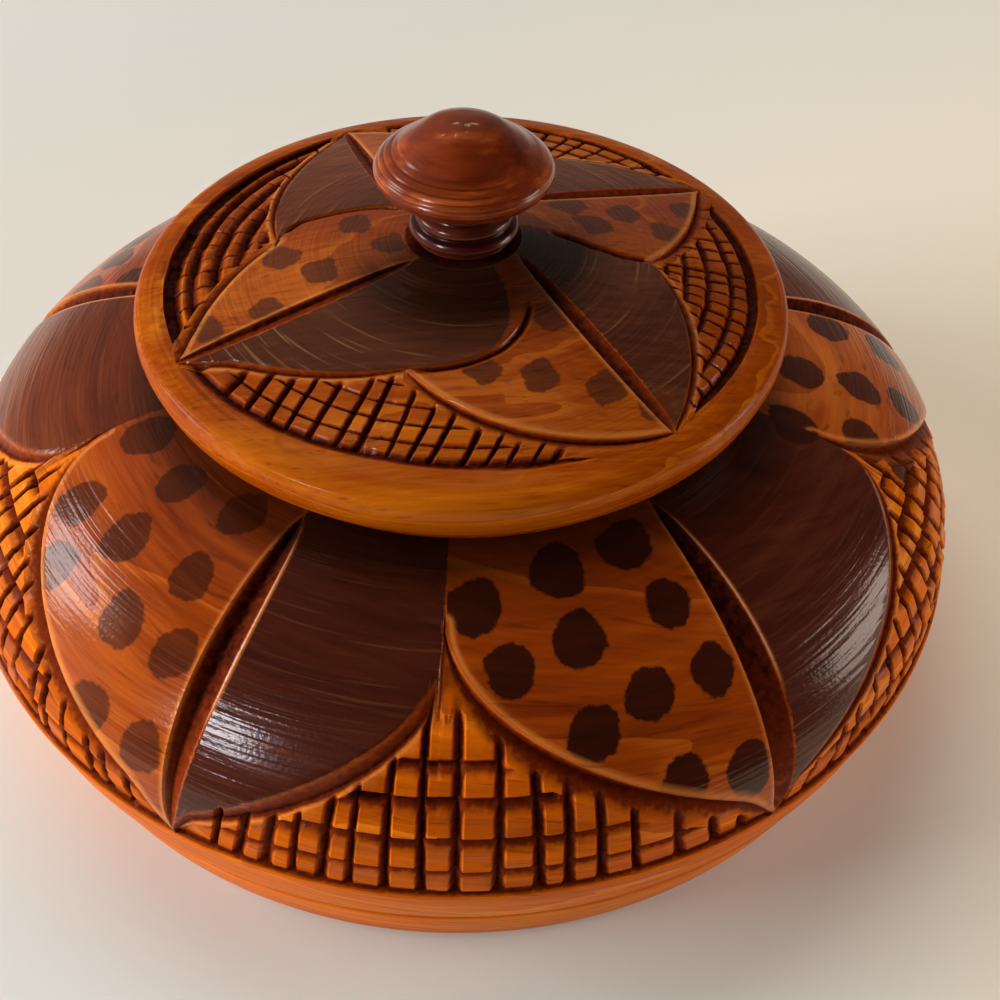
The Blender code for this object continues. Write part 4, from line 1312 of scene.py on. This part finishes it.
    # Bump: fibres, fine dust in the varnish, and tool lines that break up the highlights
    dust = addNode(tree, "ShaderNodeTexNoise", None, {
        "Vector": place, "Scale": figure["dust"], "Detail": 1.0}).outputs["Fac"]
    normal = addNode(tree, "ShaderNodeBump", None, {
        "Strength": 0.5, "Distance": 0.00005, "Height": fibres}).outputs["Normal"]
    for strength, distance, height in ((0.35, 0.00006, dust), (0.7, 0.00012, tool)):
        normal = addNode(tree, "ShaderNodeBump", None, {
            "Strength": strength,
            "Distance": distance,
            "Height": height,
            "Normal": normal,
        }).outputs["Normal"]
    tree.links.new(normal, shader.inputs["Normal"])
    tree.links.new(normal, shader.inputs["Coat Normal"])

    # Duller, thinner varnish in the cuts, and very little on bare wood
    gloss = addNode(tree, "ShaderNodeMapRange", None, {
        "Value": tone,
        "From Min": 0.05,
        "From Max": 0.6,
        "To Min": look["roughness"],
        "To Max": varnish["cutRoughness"],
    }).outputs["Result"]
    tree.links.new(gloss, shader.inputs["Roughness"])
    coat = addNode(tree, "ShaderNodeMapRange", None, {
        "Value": tone,
        "From Min": 0.05,
        "From Max": 0.5,
        "To Min": varnish["coat"],
        "To Max": varnish["cutCoat"],
    }).outputs["Result"]
    bare = addNode(tree, "ShaderNodeMapRange", None, {
        "Value": marks["pale"], "To Min": 1.0, "To Max": look["bareCoat"]}).outputs["Result"]
    thin = addNode(tree, "ShaderNodeMath", {"operation": "MULTIPLY"}, {0: coat, 1: bare}).outputs["Value"]
    tree.links.new(thin, shader.inputs["Coat Weight"])
    shader.inputs["IOR"].default_value = varnish["ior"]
    shader.inputs["Specular IOR Level"].default_value = varnish["specular"]
    shader.inputs["Coat Roughness"].default_value = varnish["coatRoughness"]
    return material


box.data.materials.append(makeWood(boxWood))
lid.data.materials.append(makeWood(lidWood))

# Knob of the same wood, varnished darker and redder: darkest in the neck, on the beads and between the
# turning ridges, most at the front left, partly dark varnish and partly painted shade under the head, with
# small pale chips at its top
knobWood = {
    "name": "varnished_turned_wood_knob",
    "layers": (60.0, 140.0, 420.0),     # per metre: flat layers about 2.5 mm thick
    "wood": ((0.3, "#3E1206"), (0.52, "#722B0D"), (0.74, "#AE5820")),
    "cut": ((0.0, "#5E200C"), (1.0, "#220302")),
    "chip": "#B48A6C",
    "roughness": 0.36,
    "specular": 0.12,
    "coat": 0.6,
}


def makeKnobWood(look):
    material, tree, shader = newMaterial(look["name"])
    place = addNode(tree, "ShaderNodeTexCoord").outputs["Object"]
    marks = {word: addNode(tree, "ShaderNodeAttribute", {"attribute_name": word}).outputs["Fac"]
             for word in ("tone", "chip")}
    drawn = addNode(tree, "ShaderNodeMapping", None, {
        "Vector": place, "Scale": look["layers"]}).outputs["Vector"]
    layers = addNode(tree, "ShaderNodeTexNoise", None, {
        "Vector": drawn,
        "Scale": 1.0,
        "Detail": 5.0,
        "Roughness": 0.65,
        "Distortion": 0.4,
    }).outputs["Fac"]
    wood = addNode(tree, "ShaderNodeValToRGB", {"stops": look["wood"]}, {"Fac": layers}).outputs["Color"]
    cut = addNode(tree, "ShaderNodeValToRGB", {"stops": look["cut"]}, {
        "Fac": marks["tone"]}).outputs["Color"]
    toned = addNode(tree, "ShaderNodeMixRGB", None, {
        "Fac": marks["tone"], "Color1": wood, "Color2": cut}).outputs["Color"]
    chipped = addNode(tree, "ShaderNodeMixRGB", None, {
        "Fac": marks["chip"], "Color1": toned, "Color2": toLinear(look["chip"])}).outputs["Color"]
    normal = addNode(tree, "ShaderNodeBump", None, {
        "Strength": 0.4, "Distance": 0.00004, "Height": layers}).outputs["Normal"]
    tree.links.new(chipped, shader.inputs["Base Color"])
    tree.links.new(normal, shader.inputs["Normal"])
    shader.inputs["Roughness"].default_value = look["roughness"]
    shader.inputs["Specular IOR Level"].default_value = look["specular"]
    shader.inputs["Coat Weight"].default_value = look["coat"]
    shader.inputs["Coat Roughness"].default_value = varnish["coatRoughness"]
    return material


knob.data.materials.append(makeKnobWood(knobWood))
print("wood finished")

# Floor: plain pale sheet with a faint pressed grain. It is painted paler towards the front right, to make up
# for the weaker light there, and a cooler patch lies at the left of the box, where its red bounce would tint
# the sheet too much.
floorLook = {
    "half": 1.6,
    "back": "#D0CEC7",
    "front": "#EEDFC4",
    "frontWay": (3.0, -4.0, 0.0),
    "frontReach": (-0.9, 0.6),
    "cool": "#D6DBD8",
    "coolPlace": (-0.04, -0.05, 0.0),
    "coolReach": (0.15, 0.05),
    "grain": 420.0,
    "lift": 0.11,
    "roughness": 0.6,
    "specular": 0.3,
}


def buildFloor(look):
    half = look["half"]
    corners = [(-half, -half, 0), (half, -half, 0), (half, half, 0), (-half, half, 0)]
    mesh = bpy.data.meshes.new("floor")
    mesh.from_pydata(corners, [], [(0, 1, 2, 3)])
    floor = bpy.data.objects.new("floor", mesh)
    bpy.context.collection.objects.link(floor)
    material, tree, shader = newMaterial("pale_pressed_sheet")
    place = addNode(tree, "ShaderNodeTexCoord").outputs["Object"]
    across = addNode(tree, "ShaderNodeVectorMath", {"operation": "DOT_PRODUCT"}, {
        0: place, 1: look["frontWay"]}).outputs["Value"]
    share = addNode(tree, "ShaderNodeMapRange", {"interpolation_type": "SMOOTHSTEP"}, {
        "Value": across,
        "From Min": look["frontReach"][0],
        "From Max": look["frontReach"][1],
    }).outputs["Result"]
    tint = addNode(tree, "ShaderNodeMixRGB", None, {
        "Fac": share, "Color1": toLinear(look["back"]), "Color2": toLinear(look["front"])}).outputs["Color"]
    away = addNode(tree, "ShaderNodeVectorMath", {"operation": "DISTANCE"}, {
        0: place, 1: look["coolPlace"]}).outputs["Value"]
    near = addNode(tree, "ShaderNodeMapRange", {"interpolation_type": "SMOOTHSTEP"}, {
        "Value": away, "From Min": look["coolReach"][0], "From Max": look["coolReach"][1]}).outputs["Result"]
    tint = addNode(tree, "ShaderNodeMixRGB", None, {
        "Fac": near, "Color1": tint, "Color2": toLinear(look["cool"])}).outputs["Color"]
    grain = addNode(tree, "ShaderNodeTexNoise", None, {
        "Vector": place, "Scale": look["grain"], "Detail": 3.0}).outputs["Fac"]
    normal = addNode(tree, "ShaderNodeBump", None, {
        "Strength": 0.12, "Distance": 0.0002, "Height": grain}).outputs["Normal"]
    tree.links.new(tint, shader.inputs["Base Color"])
    tree.links.new(normal, shader.inputs["Normal"])
    shader.inputs["Roughness"].default_value = look["roughness"]
    shader.inputs["Specular IOR Level"].default_value = look["specular"]

    # The sheet looks paler to the eye and in the varnish than the light on it would make it
    ray = addNode(tree, "ShaderNodeLightPath").outputs
    seen = addNode(tree, "ShaderNodeMath", {"operation": "ADD"}, {
        0: ray["Is Camera Ray"], 1: ray["Is Glossy Ray"]}).outputs["Value"]
    lift = addNode(tree, "ShaderNodeMath", {"operation": "MULTIPLY"}, {
        0: seen, 1: look["lift"]}).outputs["Value"]
    tree.links.new(tint, shader.inputs["Emission Color"])
    tree.links.new(lift, shader.inputs["Emission Strength"])
    floor.data.materials.append(material)


buildFloor(floorLook)

# Room: pale walls behind and to the left fade into dimness in front and overhead, by the direction looked in
roomLook = {
    "walls": "#EDE6DA",
    "dim": "#1E1A16",
    "faces": (-0.4, 0.8, -0.45),
    "fade": (-0.2, 0.6),
    "strength": 0.24,
}


def lightRoom(look):
    world = bpy.data.worlds.new("soft_room")
    world.use_nodes = True
    bpy.context.scene.world = world
    tree = world.node_tree
    way = addNode(tree, "ShaderNodeTexCoord").outputs["Object"]
    facing = addNode(tree, "ShaderNodeVectorMath", {"operation": "DOT_PRODUCT"}, {
        0: way, 1: look["faces"]}).outputs["Value"]
    share = addNode(tree, "ShaderNodeMapRange", {"interpolation_type": "SMOOTHSTEP"}, {
        "Value": facing, "From Min": look["fade"][0], "From Max": look["fade"][1]}).outputs["Result"]
    colour = addNode(tree, "ShaderNodeMixRGB", None, {
        "Fac": share, "Color1": toLinear(look["dim"]), "Color2": toLinear(look["walls"])}).outputs["Color"]
    tree.links.new(colour, tree.nodes["Background"].inputs["Color"])
    tree.nodes["Background"].inputs["Strength"].default_value = look["strength"]


lightRoom(roomLook)
bpy.context.scene.view_settings.view_transform = "Standard"
print("stage and light set")
